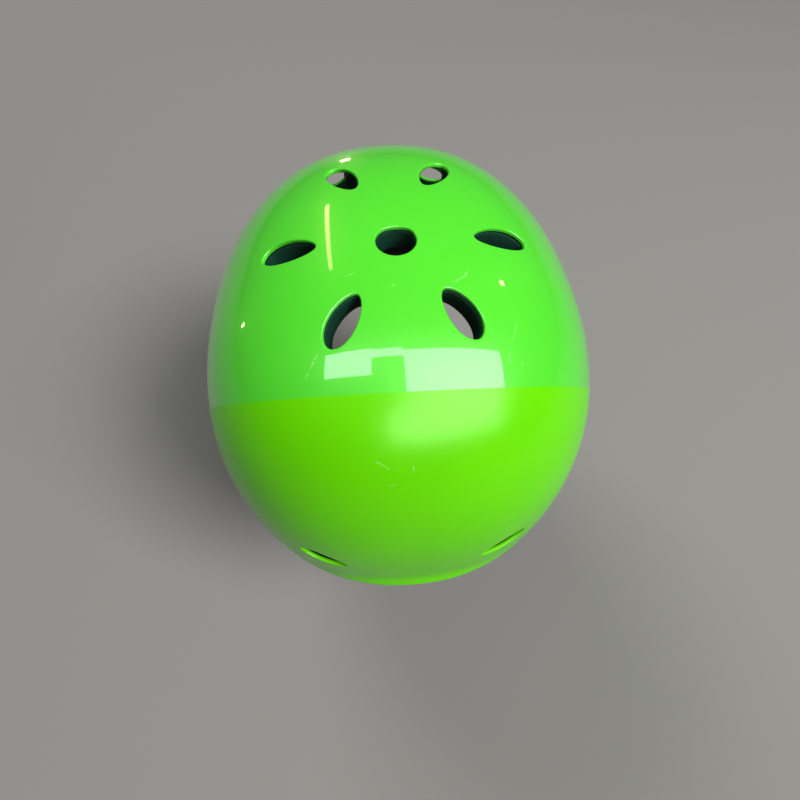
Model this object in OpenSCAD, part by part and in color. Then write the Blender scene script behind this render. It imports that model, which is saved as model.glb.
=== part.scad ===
// Water sports helmet: hard shell, foam liner, comfort pads and buckled webbing.
// Millimetres. The front looks along -Y and +Z is up. The origin is the middle
// of the head opening, level with the lowest stretch of the rim.

/* [Shell] */
// Width of the shell at its widest level
shell_w = 216; // [208:1:232]
// Reach of the shell from the crown centre to the brow
brow_reach = 116.3; // [108:0.1:124]
// Reach of the shell from the crown centre to the nape
nape_reach = 146.3; // [138:0.1:156]
// Height of the dome above its widest level
dome_h = 119.8; // [110:0.1:130]
// Height of the widest level above the lowest rim
skirt_h = 40; // [34:1:46]
// Share by which the skirt narrows at the lowest rim
skirt_taper = 0.03; // [0:0.005:0.05]
// Thickness of the hard shell
shell_t = 2.2; // [1.8:0.1:3]
// Rise of the rim at the brow
brow_rise = 17; // [10:1:24]
// Step outwards of the shell's lip at the middle of the brow
brow_flare = 3.2; // [0:0.2:4]
// Height of the flared lip at the brow
brow_flare_h = 10; // [6:1:14]
// Rise of the rim over the ears
ear_rise = 5; // [0:1:8]
// Squareness of the shell seen from above
plan_n = 2.21; // [2:0.01:2.6]
// Squareness of the shell seen from the side
profile_n = 2.25; // [2:0.01:2.6]

/* [Vents] */
// Radius of the round vents, one at the crown and two at the back
round_vent_r = 8.8; // [6:0.1:10]
// Length of the two upper front vents
front_vent_l = 25; // [18:0.5:28]
// Length of the two side vents
side_vent_l = 28.5; // [20:0.5:31]
// Length of the two upper rear vents
rear_vent_l = 26.5; // [18:0.5:30]
// Width of the six upper vents
upper_vent_w = 12.5; // [8:0.5:14]
// Length of the two lower front vents
lower_vent_l = 25; // [16:0.5:28]
// Width of the two lower front vents
lower_vent_w = 12; // [7:0.5:13]
// Height of the lower front vents above the lowest rim
lower_vent_z = 46; // [44:1:54]
// Step inwards from a shell vent to the liner vent behind it
vent_step = 0.6; // [0.2:0.1:1.2]

/* [Liner] */
// Thickness of the foam liner
liner_t = 10; // [9:0.5:14]
// Gap between shell and liner
liner_gap = 0.4; // [0.3:0.1:1]
// Distance from the shell rim up to the liner edge
liner_recess = 5; // [3:0.5:9]
// Depth of the liner channels that clear the strap anchors
channel_d = 5.5; // [5:0.5:8]
// Width of the two air slots between the upper rear and the round rear vents
air_slot_w = 15; // [10:1:18]

/* [Pads] */
// Thickness of the comfort pads at their crown
pad_t = 10; // [6:0.5:12]
// Thickness of the pads at their sewn edge
pad_edge_t = 2; // [1:0.5:3]
// Height of the brow pad
brow_pad_h = 20; // [16:1:22]
// Height of the rear pad and the side pads
pad_h = 28; // [20:1:32]
// Width of the two crown pads
crown_pad_w = 24; // [18:1:26]
// Length of the two crown pads
crown_pad_l = 60; // [44:1:64]
// Radius of the hook fastener dots
dot_r = 7; // [5:0.5:8]
// Thickness of the hook fastener dots
dot_t = 1; // [0.6:0.1:1.4]

/* [Webbing] */
// Width of the webbing
web_w = 20; // [15:1:22]
// Thickness of the webbing
web_t = 1.2; // [0.9:0.1:1.5]
// Gap between webbing and what it lies on
web_gap = 0.3; // [0.2:0.05:0.4]
// Gap between the shell and the flat strap tabs
tab_gap = 0.9; // [0.8:0.1:1.2]
// Length of straight webbing below each divider
web_straight = 56; // [52:1:64]
// Radius of the bend from the side of the chin loop to its foot
web_bend_r = 30; // [26:1:34]
// Length of the fold sewn back at the socket
sewn_l = 26; // [20:1:32]

/* [Anchors] */
// Distance of the front anchors ahead of the origin
front_anchor_y = 50; // [42:1:56]
// Distance of the rear anchors behind the origin
rear_anchor_y = 62; // [54:1:70]
// Height of the anchors above the lowest rim
anchor_z = 15; // [13:1:18]
// Radius of the rivet heads
rivet_head_r = 5.5; // [4:0.5:7]
// Height of the rivet heads
rivet_head_h = 1.8; // [1.2:0.1:2.4]
// Radius of the rivet shanks
rivet_r = 2.2; // [1.6:0.1:2.8]
// Radius of the washers inside the shell
washer_r = 7; // [5.5:0.5:8]
// Thickness of the washers
washer_t = 0.8; // [0.5:0.1:1]

/* [Dividers] */
// Distance of the divider centres inwards from the shell's widest place
divider_inset = 24; // [20:1:28]
// Distance of the divider centres ahead of the origin
divider_y = 8; // [2:1:14]
// Distance of the divider centres below the origin
divider_drop = 58; // [54:1:64]
// Width of the divider across its top
divider_w = 50; // [48:1:56]
// Thickness of the divider back plate
divider_t = 2; // [1.6:0.1:2.6]
// Thickness of the divider cheeks
cheek_t = 2.2; // [1.8:0.1:2.8]
// Radius of the lever pin
lever_pin_r = 1.2; // [1:0.1:1.4]
// Thickness of the lever round its pin
lever_wall = 1.8; // [1.4:0.1:2.2]
// Thickness of the lever flap
lever_t = 2.2; // [1.6:0.1:2.6]
// Length of the lever from its pin to its free end
lever_l = 24; // [20:1:27]

/* [Buckle] */
// Width of the buckle
buckle_w = 29; // [28:0.5:34]
// Thickness of the buckle
buckle_t = 9.6; // [8.6:0.2:12]
// Wall of the socket
socket_wall = 2; // [1.6:0.1:2.4]
// Length of the solid end of the plug
plug_base_l = 10; // [8:0.5:13]
// Length of the prongs
prong_l = 21; // [18:0.5:24]
// Width of each prong
prong_w = 3.2; // [2.6:0.1:3.6]
// Radius of the webbing bars
bar_r = 1.5; // [1.2:0.1:1.8]
// Clear length of the webbing slots
web_slot = 5; // [4.4:0.2:6]
// Clearance of the plug in the socket
plug_gap = 0.3; // [0.2:0.05:0.4]

/* [Keeper] */
// Length of the keeper along the webbing
keeper_l = 8; // [6:0.5:10]
// Thickness of the keeper wall
keeper_wall = 1.6; // [1.2:0.1:2]

/* [Hidden] */

lime = [0.36, 0.9, 0.22];
foam = [0.09, 0.16, 0.13];
fabric = [0.12, 0.12, 0.13];
web_black = [0.07, 0.07, 0.08];
plastic = [0.1, 0.1, 0.11];
metal = [0.75, 0.76, 0.78];

// The origin halves the length, so the crown centre lies ahead of it
dome_y = (brow_reach - nape_reach) / 2;
// Clearance of the levers and cheeks on the lever pins
pin_fit = 0.05;
// Clearance of the pieces that a rivet passes through
rivet_fit = 0.1;
// Gap under heads, washers and dots
seat = 0.3;
// Columns round the dome, and rows down its dome and its skirt
cols = 48;
dome_rows = 11;
skirt_rows = 5;
round_fn = 48;
// Reach of a cut past the face that it opens
past = 8;

// The shell is a superellipsoid on a tapering skirt. off is a depth below its outer face.
function power(v, k) = sign(v) * pow(abs(v), k);
function unit(v) = v / norm(v);
function half_w(off) = shell_w / 2 - off;
function reach(off, y) = (y > dome_y ? nape_reach : brow_reach) - off;
function narrowing(z) = 1 - skirt_taper * pow((skirt_h - z) / skirt_h, 2);
function level(off, z) = z > skirt_h
    ? pow(max(0, 1 - pow((z - skirt_h) / (dome_h - off), profile_n)), 1 / profile_n)
    : narrowing(z);
function ring_point(off, t, k, z) = [half_w(off) * k * power(cos(t), 2 / plan_n),
    dome_y + reach(off, dome_y + sin(t)) * k * power(sin(t), 2 / plan_n), z];
function rim(t) = brow_rise * pow(max(0, -sin(t)), 2.4) + ear_rise * pow(abs(cos(t)), 8);
function flare(t, z) = brow_flare * pow(max(0, -sin(t)), 10)
    * pow(max(0, 1 - (z - rim(t)) / brow_flare_h), 2);
function wall_point(off, t, z) = ring_point(off, t, level(off, z), z) - [0, flare(t, z), 0];
function wall_normal(off, t, z) = unit(cross(
    wall_point(off, t + 0.5, z) - wall_point(off, t - 0.5, z),
    wall_point(off, t, z + 0.5) - wall_point(off, t, z - 0.5)));

// Right-hand wall at a place y and a height z
function side_x(off, y, z) = half_w(off) * level(off, z) * pow(
    1 - pow(abs(y - dome_y) / reach(off, y) / level(off, z), plan_n), 1 / plan_n);
function side_point(off, y, z) = [side_x(off, y, z), y, z];
function side_normal(off, y, z) = unit(cross(
    side_point(off, y + 0.5, z) - side_point(off, y - 0.5, z),
    side_point(off, y, z + 0.5) - side_point(off, y, z - 0.5)));

// Dome above a plan place
function plan_share(off, x, y) = pow(pow(abs(x) / half_w(off), plan_n)
    + pow(abs(y - dome_y) / reach(off, y), plan_n), 1 / plan_n);
function top_point(off, x, y) = [x, y, skirt_h + (dome_h - off)
    * pow(1 - pow(plan_share(off, x, y), profile_n), 1 / profile_n)];
function top_normal(off, x, y) = unit(cross(
    top_point(off, x + 0.5, y) - top_point(off, x - 0.5, y),
    top_point(off, x, y + 0.5) - top_point(off, x, y - 0.5)));

// Places children with +Z along the normal n, and +X turned by spin from the steepest way down
module on_face(p, n, spin = 0) {
    translate(p) rotate([0, acos(n.z), atan2(n.y, n.x)]) rotate([0, 0, spin]) children();
}
module both_sides() {
    for (s = [0, 1]) mirror([s, 0, 0]) children();
}

// Closed cap from the depth off to off + t, ending at a lift above the rim
function dome_ring(off, r) = [for (j = [0 : cols - 1]) let (e = 90 * (1 - r / dome_rows))
    ring_point(off, 360 * j / cols, pow(cos(e), 2 / profile_n),
        skirt_h + (dome_h - off) * pow(sin(e), 2 / profile_n))];
function skirt_ring(off, r, lift) = [for (j = [0 : cols - 1]) let (t = 360 * j / cols)
    wall_point(off, t, skirt_h + (rim(t) + lift - skirt_h) * r / skirt_rows)];
function cap_points(off, lift) = concat([[0, dome_y, skirt_h + dome_h - off]],
    [for (r = [1 : dome_rows]) each dome_ring(off, r)],
    [for (r = [1 : skirt_rows]) each skirt_ring(off, r, lift)]);
// Faces of a fan and rings of n points that start at the point base
function fan_faces(base, rings, n, out) = concat(
    [for (j = [0 : n - 1]) let (k = (j + 1) % n)
        out ? [base, base + 1 + k, base + 1 + j] : [base, base + 1 + j, base + 1 + k]],
    [for (r = [0 : rings - 2], j = [0 : n - 1])
        let (k = (j + 1) % n, up = base + 1 + r * n, low = up + n)
        each out ? [[up + j, up + k, low + k], [up + j, low + k, low + j]]
                 : [[up + j, low + k, up + k], [up + j, low + j, low + k]]]);
// Faces between the last rings of an outer and an inner surface
function edge_faces(rings, n) = let (outer = 1 + (rings - 1) * n, inner = outer + 1 + rings * n)
    [for (j = [0 : n - 1]) let (k = (j + 1) % n)
        each [[outer + j, outer + k, inner + k], [outer + j, inner + k, inner + j]]];
module two_sided(outer_points, inner_points, rings, n) {
    polyhedron(points = concat(outer_points, inner_points), convexity = 8,
        faces = concat(fan_faces(0, rings, n, true),
            fan_faces(len(outer_points), rings, n, false), edge_faces(rings, n)));
}
module cap(off, t, lift) {
    two_sided(cap_points(off, lift), cap_points(off + t, lift), dome_rows + skirt_rows, cols);
}

// Leaf outline, broader towards its outer end
leaf_swell = 0.14;
leaf_point = 0.06;
function leaf(l, w) = [for (i = [0 : 23]) let (a = 15 * i)
    [l / 2 * cos(a), w / 2 * sin(a) * (1 + leaf_swell * cos(a)) * pow(abs(sin(a)), leaf_point)]];
module leaf_cut(l, w, step, depth) {
    translate([0, 0, -depth]) linear_extrude(depth + past)
        polygon(leaf(l - 2 * step, w - 2 * step));
}
// Plan places of the upper vents on the right, and the plan directions they point in
crown_vent_at = [0, -23];
front_vent_at = [24.3, -58.7];
front_vent_turn = -57;
side_vent_at = [47.8, -16.5];
side_vent_turn = 13;
rear_vent_at = [22.1, 27.1];
rear_vent_turn = 64;
// Turn of the lower vents round the wall, and the rise of their outer ends
lower_vent_turn = -67;
lower_vent_tilt = 12;
// Turn and height of the round rear vents
round_vent_turn = 73;
round_vent_z = 95;
module upper_vent(at, turn, l, step, depth) {
    n = top_normal(0, at.x, at.y);
    on_face(top_point(0, at.x, at.y), n, turn - atan2(n.y, n.x))
        leaf_cut(l, upper_vent_w, step, depth);
}
module lower_vent(step, depth) {
    on_face(wall_point(0, lower_vent_turn, lower_vent_z),
        wall_normal(0, lower_vent_turn, lower_vent_z), 90 + lower_vent_tilt)
        leaf_cut(lower_vent_l, lower_vent_w, step, depth);
}
module round_vent(p, n, step, depth) {
    on_face(p, n) translate([0, 0, -depth])
        cylinder(r = round_vent_r - step, h = depth + past, $fn = round_fn);
}
module vents(step, depth) {
    round_vent(top_point(0, crown_vent_at.x, crown_vent_at.y),
        top_normal(0, crown_vent_at.x, crown_vent_at.y), step, depth);
    both_sides() {
        upper_vent(front_vent_at, front_vent_turn, front_vent_l, step, depth);
        upper_vent(side_vent_at, side_vent_turn, side_vent_l, step, depth);
        upper_vent(rear_vent_at, rear_vent_turn, rear_vent_l, step, depth);
        lower_vent(step, depth);
        round_vent(wall_point(0, round_vent_turn, round_vent_z),
            wall_normal(0, round_vent_turn, round_vent_z), step, depth);
    }
}

// Anchors on the right, and the depths of what their rivets hold together
anchor_ys = [-front_anchor_y, rear_anchor_y];
web_off = shell_t + tab_gap + web_t / 2;
washer_top = web_off + web_t / 2 + seat;
tail_top = washer_top + washer_t + seat;
tail_h = 1.2;
tail_r = 1.6 * rivet_r;
module at_anchor(y) {
    on_face(side_point(0, y, anchor_z), side_normal(0, y, anchor_z)) children();
}
module at_anchors() {
    both_sides() for (y = anchor_ys) at_anchor(y) children();
}
module rivet_hole(y) {
    at_anchor(y) translate([0, 0, -tail_top - past])
        cylinder(r = rivet_r + rivet_fit, h = tail_top + 2 * past, $fn = round_fn);
}

// The chin loop leans forward in a plane that passes through both dividers
divider_x = shell_w / 2 - divider_inset;
chin_lean = 12;
side_slant = 14;
layer_step = web_t + web_gap;
web_x = web_gap + web_t / 2;
function from_chin(p) = [p.x, -divider_y + p.y * cos(chin_lean) + p.z * sin(chin_lean),
    -divider_drop - p.y * sin(chin_lean) + p.z * cos(chin_lean)];
function slant(x, z) = [divider_x + x * cos(side_slant) + z * sin(side_slant),
    -x * sin(side_slant) + z * cos(side_slant)];
function from_divider(p) = from_chin([slant(p.x, p.z).x, p.y, slant(p.x, p.z).y]);
function turned(p) = from_divider(p) - from_divider([0, 0, 0]);
module chin_frame() {
    translate([0, -divider_y, -divider_drop]) rotate([-chin_lean, 0, 0]) children();
}
module divider_frame() {
    chin_frame() translate([divider_x, 0, 0]) rotate([0, side_slant, 0]) children();
}

// Webbing. A section is [centre, half width vector, half thickness vector].
function ribbon_points(sections) = [for (s = sections)
    each [s[0] + s[1] + s[2], s[0] - s[1] + s[2], s[0] - s[1] - s[2], s[0] + s[1] - s[2]]];
module ribbon(sections) {
    last = 4 * len(sections) - 4;
    polyhedron(points = ribbon_points(sections), convexity = 6, faces = concat(
        [[0, 1, 2], [0, 2, 3], [last, last + 2, last + 1], [last, last + 3, last + 2]],
        [for (i = [0 : 4 : last - 4], c = [0 : 3]) let (a = i + c, b = i + (c + 1) % 4)
            each [[a, a + 4, b + 4], [a, b + 4, b]]]));
}
// Height in the divider where slanting webbing turns straight down
fold_z = 15;
function fold_point(x) = from_divider([x, 0, fold_z]);
// Above the fold each strap stays flat in its layer at x until the two straps part
flat_l = web_w / 2 + 3;
function flat_point(y, x) = let (rise = side_point(0, y, anchor_z) - fold_point(x),
        a = atan2(rise * turned([0, 1, 0]), rise * turned([0, 0, 1])))
    from_divider([x, flat_l * sin(a), fold_z + flat_l * cos(a)]);
// From an anchor at y, s runs from 0 at the rivet to 1 at the start of the flat stretch
rim_clear_z = 2;
function slant_point(y, x, s) = let (foot = flat_point(y, x), py = y + (foot.y - y) * s,
        pz = anchor_z + (foot.z - anchor_z) * s,
        rim_s = (anchor_z - rim_clear_z) / (anchor_z - foot.z),
        rim_x = side_x(web_off, y + (foot.y - y) * rim_s, rim_clear_z))
    s < rim_s ? side_point(web_off, py, pz)
              : [rim_x + (foot.x - rim_x) * (s - rim_s) / (1 - rim_s), py, pz];
function slant_section(y, x, s) = let (
        t = unit(slant_point(y, x, s + 0.01) - slant_point(y, x, s - 0.01)),
        face = side_normal(0, y, anchor_z) * (1 - s) + turned([1, 0, 0]) * s,
        w = unit(cross(face, t)))
    [slant_point(y, x, s), w * web_w / 2, cross(t, w) * web_t / 2];
function flat_section(y, x) = [flat_point(y, x),
    unit(cross(turned([1, 0, 0]), fold_point(x) - flat_point(y, x))) * web_w / 2,
    turned([1, 0, 0]) * web_t / 2];
// The fold's section lies on the line that halves the bend
function fold_section(y, x) = let (down = turned([0, 0, -1]),
        t = unit(fold_point(x) - flat_point(y, x)), half = acos(t * down) / 2)
    [fold_point(x), unit(cross(turned([1, 0, 0]), unit(t + down))) * web_w / 2 / cos(half),
     turned([1, 0, 0]) * web_t / 2];
tab_s = -0.13;
slant_steps = [tab_s, 0, 0.08, 0.16, 0.26, 0.5, 0.75];
function slanting(y, x) = concat([for (s = slant_steps) slant_section(y, x, s)],
    [flat_section(y, x), fold_section(y, x)]);

// Chin loop in the chin plane. The outer face of the webbing looks along the angle a.
function chin_section(p, a) = [from_chin([p.x, 0, p.y]),
    turned([0, 1, 0]) * web_w / 2,
    (from_chin([cos(a), 0, sin(a)]) - from_chin([0, 0, 0])) * web_t / 2];
bend_centre = slant(web_x, -web_straight)
    - web_bend_r * [cos(side_slant), -sin(side_slant)];
loop_foot = bend_centre.y - web_bend_r;
bend_steps = 8;
bar_wrap = bar_r + web_gap + web_t / 2;
bar_z = loop_foot - bar_wrap;
function bend_section(extra, a, face) =
    chin_section(bend_centre + (web_bend_r + extra) * [cos(a), sin(a)], face);
// Down the side, round the bend, along the foot and round the bar at bar_x
function loop_sections(bar_x) = concat(
    [chin_section(slant(web_x, -web_straight / 2), -side_slant)],
    [for (i = [0 : bend_steps]) let (a = -side_slant - (90 - side_slant) * i / bend_steps)
        bend_section(0, a, a)],
    [for (a = [-90 : 30 : 90])
        chin_section([bar_x, bar_z] - bar_wrap * [cos(a), sin(a)], a)]);
// Back under the foot from the bar, rising onto the outer face between x = low and x = high
function return_sections(low, high) = [
    chin_section([low, loop_foot - 2 * bar_wrap], 90),
    chin_section([(low + high) / 2, loop_foot - bar_wrap - layer_step / 2], 90),
    chin_section([high, loop_foot - layer_step], 90)];
function tail_bend(a_end) = [for (i = [0 : bend_steps])
    let (a = -90 + (a_end + 90) * i / bend_steps) bend_section(layer_step, a, a + 180)];

// Buckle sizes that follow from the webbing and the prongs
rail_y = web_w / 2 + 0.8;
socket_depth = prong_l + 2 * plug_gap;
socket_l = socket_depth + socket_wall + web_slot + 2 * bar_r;
socket_bar_x = socket_l - bar_r;
return_slot = web_t + 2 * web_gap + 1;
plug_bar_x = plug_gap + plug_base_l + return_slot + bar_r;
outer_bar_x = plug_bar_x + web_slot + 2 * bar_r;
plug_l = outer_bar_x + bar_r;
cavity_w = buckle_w - 2 * socket_wall;
cavity_h = buckle_t - 2 * socket_wall;
rail_h = 2 * bar_r + 2;

// Ends of the sewn fold, of the rear straps and of the loose tail
sewn_end = -90 + max(4, sewn_l - (bend_centre.x - socket_bar_x))
    / (web_bend_r + layer_step) * 180 / PI;
rear_strap_end = -27;
tail_end = -30;
rise_l = 8;
module long_strap_right() {
    color(web_black) difference() {
        ribbon(concat(slanting(-front_anchor_y, web_x), loop_sections(plug_bar_x),
            return_sections(plug_l + web_gap, plug_l + rise_l),
            tail_bend(-side_slant),
            [chin_section(slant(web_x + layer_step, tail_end), 180 - side_slant)]));
        rivet_hole(-front_anchor_y);
    }
}
module long_strap_left() {
    color(web_black) mirror([1, 0, 0]) difference() {
        ribbon(concat(slanting(-front_anchor_y, web_x), loop_sections(socket_bar_x),
            return_sections(socket_bar_x + bar_r + web_gap, socket_bar_x + rise_l),
            tail_bend(sewn_end)));
        rivet_hole(-front_anchor_y);
    }
}
module rear_strap() {
    color(web_black) difference() {
        ribbon(concat(slanting(rear_anchor_y, web_x + layer_step),
            [chin_section(slant(web_x + layer_step, rear_strap_end), -side_slant)]));
        rivet_hole(rear_anchor_y);
    }
}
module rear_strap_right() {
    rear_strap();
}
module rear_strap_left() {
    mirror([1, 0, 0]) rear_strap();
}

module outer_shell() {
    color(lime) difference() {
        cap(0, shell_t, 0);
        vents(0, shell_t + past);
        both_sides() for (y = anchor_ys) rivet_hole(y);
    }
}

// Channels run from above each anchor down past the liner edge, along the webbing
liner_off = shell_t + liner_gap;
liner_in = liner_off + liner_t;
channel_top = 20;
function channel_turn(y) = let (foot = flat_point(y, web_x))
    atan2(foot.y - y, anchor_z - foot.z);
module channel(y) {
    w = web_w + 6;
    at_anchor(y) rotate([0, 0, channel_turn(y)])
        translate([-channel_top, -w / 2, -liner_off - channel_d])
        cube([channel_top + 60, w, channel_d + liner_off + past]);
}
// Slot through the liner from the upper rear vent to the round vent below it
module air_slot() {
    a = top_point(0, rear_vent_at.x, rear_vent_at.y);
    b = wall_point(0, round_vent_turn, round_vent_z);
    d = unit(b - a);
    w = unit(cross([0, 0, 1], d));
    n = cross(d, w);
    m = [for (i = [0 : 2]) [d[i], w[i], n[i], a[i]]];
    multmatrix(m) translate([0, -air_slot_w / 2, -liner_in - past])
        cube([norm(b - a), air_slot_w, 2 * liner_in + 3 * past]);
}
module impact_liner() {
    color(foam) difference() {
        cap(liner_off, liner_t, liner_recess);
        vents(vent_step, liner_in + past);
        both_sides() {
            for (y = anchor_ys) channel(y);
            air_slot();
        }
    }
}

// Pads: a crowned cushion on the footprint u, v = -1 to 1, drawn in between its corners
pad_cols = 14;
pad_rows = 6;
dot_gap = 0.8;
pad_off = liner_in + dot_gap + dot_t + 2 * seat;
function pad_uv(u, v) = let (corner_cut = 1 - 0.1 * pow(u * v, 6))
    [u * corner_cut * (1 - 0.03 * (1 - v * v)), v * corner_cut * (1 - 0.08 * (1 - u * u))];
function crowned(u, v) = pad_edge_t
    + (pad_t - pad_edge_t) * sqrt((1 - pow(u, 6)) * (1 - pow(v, 4)));
function pad_face(place, front) = [for (i = [0 : pad_cols], j = [0 : pad_rows])
    let (u = 2 * i / pad_cols - 1, v = 2 * j / pad_rows - 1, uv = pad_uv(u, v))
    place(pad_off + (front ? crowned(u, v) : 0), uv.x, uv.y)];
// Point numbers on the front face, going once round its edge
pad_edge = concat([for (i = [0 : pad_cols - 1]) i * (pad_rows + 1)],
    [for (j = [0 : pad_rows - 1]) pad_cols * (pad_rows + 1) + j],
    [for (i = [pad_cols : -1 : 1]) i * (pad_rows + 1) + pad_rows],
    [for (j = [pad_rows : -1 : 1]) j]);
module pad(place) {
    back = (pad_cols + 1) * (pad_rows + 1);
    edge_n = len(pad_edge);
    color(fabric) polyhedron(points = concat(pad_face(place, true), pad_face(place, false)),
        convexity = 4, faces = concat(
        [for (i = [0 : pad_cols - 1], j = [0 : pad_rows - 1])
            let (a = i * (pad_rows + 1) + j, b = a + pad_rows + 1, c = b + 1, d = a + 1)
            each [[a, b, c], [a, c, d],
                  [back + a, back + c, back + b], [back + a, back + d, back + c]]],
        [for (k = [0 : edge_n - 1]) let (a = pad_edge[k], b = pad_edge[(k + 1) % edge_n])
            each [[a, back + a, back + b], [a, back + b, b]]]));
}
// Pad places: the turn or the plan place of the middle, and half of the angle that it spans
brow_pad_z = 33;
brow_pad_angle = 52;
rear_pad_z = 26;
rear_pad_angle = 38;
side_pad_turn = 6;
side_pad_z = 30;
side_pad_angle = 20;
crown_front_y = -74;
crown_rear_y = 36;
module wall_pad(turn, angle, z, h) {
    pad(function (off, u, v) wall_point(off, turn + u * angle, z + v * h / 2));
}
module crown_pad(y) {
    pad(function (off, u, v) top_point(off, u * crown_pad_w / 2, y + v * crown_pad_l / 2));
}
module brow_pad() {
    wall_pad(-90, brow_pad_angle, brow_pad_z, brow_pad_h);
}
module rear_pad() {
    wall_pad(90, rear_pad_angle, rear_pad_z, pad_h);
}
module side_pad_left() {
    wall_pad(180 - side_pad_turn, side_pad_angle, side_pad_z, pad_h);
}
module side_pad_right() {
    wall_pad(side_pad_turn, side_pad_angle, side_pad_z, pad_h);
}
module crown_pad_front() {
    crown_pad(crown_front_y);
}
module crown_pad_rear() {
    crown_pad(crown_rear_y);
}
module dot(p, n) {
    on_face(p, n) translate([0, 0, -dot_gap - dot_t]) cylinder(r = dot_r, h = dot_t, $fn = 32);
}
module wall_dot(turn, z) {
    dot(wall_point(liner_in, turn, z), wall_normal(liner_in, turn, z));
}
module crown_dot(y) {
    dot(top_point(liner_in, 0, y), top_normal(liner_in, 0, y));
}
module hook_dots() {
    color(plastic) {
        for (k = [-0.75, -0.25, 0.25, 0.75]) wall_dot(-90 + k * brow_pad_angle, brow_pad_z);
        for (k = [-0.6, 0, 0.6]) wall_dot(90 + k * rear_pad_angle, rear_pad_z);
        for (k = [-0.5, 0.5], side = [side_pad_turn, 180 - side_pad_turn])
            wall_dot(side + k * side_pad_angle, side_pad_z);
        for (k = [-0.3, 0.3]) {
            crown_dot(crown_front_y + k * crown_pad_l);
            crown_dot(crown_rear_y + k * crown_pad_l);
        }
    }
}

module anchor_rivets() {
    color(metal) at_anchors() {
        translate([0, 0, -tail_top - tail_h]) cylinder(r = tail_r, h = tail_h, $fn = round_fn);
        translate([0, 0, -tail_top - tail_h / 2])
            cylinder(r = rivet_r, h = tail_top + tail_h / 2 + seat + 0.2, $fn = round_fn);
        translate([0, 0, seat]) {
            cylinder(r = rivet_head_r, h = rivet_head_h / 2, $fn = round_fn);
            translate([0, 0, rivet_head_h / 2]) cylinder(r1 = rivet_head_r,
                r2 = 0.7 * rivet_head_r, h = rivet_head_h / 2, $fn = round_fn);
        }
    }
}
module anchor_washers() {
    color(metal) at_anchors() translate([0, 0, -washer_top - washer_t]) difference() {
        cylinder(r = washer_r, h = washer_t, $fn = round_fn);
        translate([0, 0, -1])
            cylinder(r = rivet_r + rivet_fit, h = washer_t + 2, $fn = round_fn);
    }
}

// Divider: back plate, cheeks with the lever pin, and a bridge over the folds
plate_top = 20;
plate_low = -16;
corner = 3;
cheek_y = web_w / 2 + web_gap;
boss_r = lever_pin_r + lever_wall;
stack_x = web_x + layer_step + web_t / 2 + web_gap;
pin_x = stack_x + boss_r;
pin_z = 6;
bridge_low = 11.5;
bridge_t = 2.2;
post_w = 2.6;
module upright(y, z) {
    translate([y, z]) circle(r = corner, $fn = 32);
}
// Turns a drawing in Y and Z into a plate from x = 0 to x = t
module plate(t) {
    rotate([90, 0, 90]) linear_extrude(t) children();
}
module divider_plate() {
    top_y = divider_w / 2 - corner;
    low_y = cheek_y + cheek_t - corner;
    translate([-divider_t, 0, 0]) plate(divider_t) hull() for (s = [-1, 1]) {
        upright(s * top_y, plate_top - corner);
        upright(s * top_y, bridge_low + corner);
        upright(s * low_y, pin_z - corner);
        upright(s * low_y, plate_low + corner);
    }
}
module cheeks() {
    for (s = [-1, 1]) translate([-divider_t / 2, s * (cheek_y + cheek_t / 2) - cheek_t / 2, 0]) {
        translate([0, 0, plate_low + corner])
            cube([divider_t / 2 + pin_x, cheek_t, pin_z + boss_r - plate_low - corner]);
        translate([divider_t / 2 + pin_x, 0, pin_z]) rotate([-90, 0, 0])
            cylinder(r = boss_r, h = cheek_t, $fn = round_fn);
    }
}
module bridge() {
    translate([stack_x, 0, 0]) plate(bridge_t) hull() for (s = [-1, 1])
        for (z = [bridge_low + corner, plate_top - corner - 0.5])
            upright(s * (divider_w / 2 - corner - 0.5), z);
    for (s = [-1, 1]) translate([-divider_t / 2,
        s * (divider_w / 2 - 1.2 - post_w / 2) - post_w / 2, bridge_low + corner - 1])
        cube([divider_t / 2 + stack_x + bridge_t / 2, post_w, plate_top - bridge_low - 2 * corner + 2]);
}
module pin_bar(r, l) {
    translate([pin_x, -l / 2, pin_z]) rotate([-90, 0, 0]) cylinder(r = r, h = l, $fn = round_fn);
}
module divider() {
    color(plastic) divider_frame() difference() {
        union() {
            divider_plate();
            cheeks();
            bridge();
        }
        pin_bar(lever_pin_r + pin_fit, divider_w);
    }
}
module divider_right() {
    divider();
}
module divider_left() {
    mirror([1, 0, 0]) divider();
}
module lever_pin() {
    color(metal) divider_frame() pin_bar(lever_pin_r, 2 * (cheek_y + cheek_t));
}
module lever_pin_right() {
    lever_pin();
}
module lever_pin_left() {
    mirror([1, 0, 0]) lever_pin();
}
// Lever: a boss on the pin, a flap, a gripping nose and a finger lip
lever_w = 2 * (cheek_y - web_gap);
nose_h = 3.4;
lip_h = 2.4;
module lever_block(x, z, dx, dz) {
    translate([pin_x + x, -lever_w / 2, pin_z + z]) cube([dx, lever_w, dz]);
}
module lever() {
    color(plastic) divider_frame() difference() {
        union() {
            pin_bar(boss_r, lever_w);
            lever_block(boss_r - lever_t, -lever_l, lever_t, lever_l);
            lever_block(-boss_r, -boss_r - nose_h, 2 * boss_r - lever_t / 2, nose_h);
            lever_block(-boss_r + lever_wall / 2, -boss_r, boss_r, boss_r);
            lever_block(boss_r - lever_t, -lever_l, lever_t + lip_h, 2);
        }
        pin_bar(lever_pin_r + pin_fit, divider_w);
    }
}
module lever_right() {
    lever();
}
module lever_left() {
    mirror([1, 0, 0]) lever();
}

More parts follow.
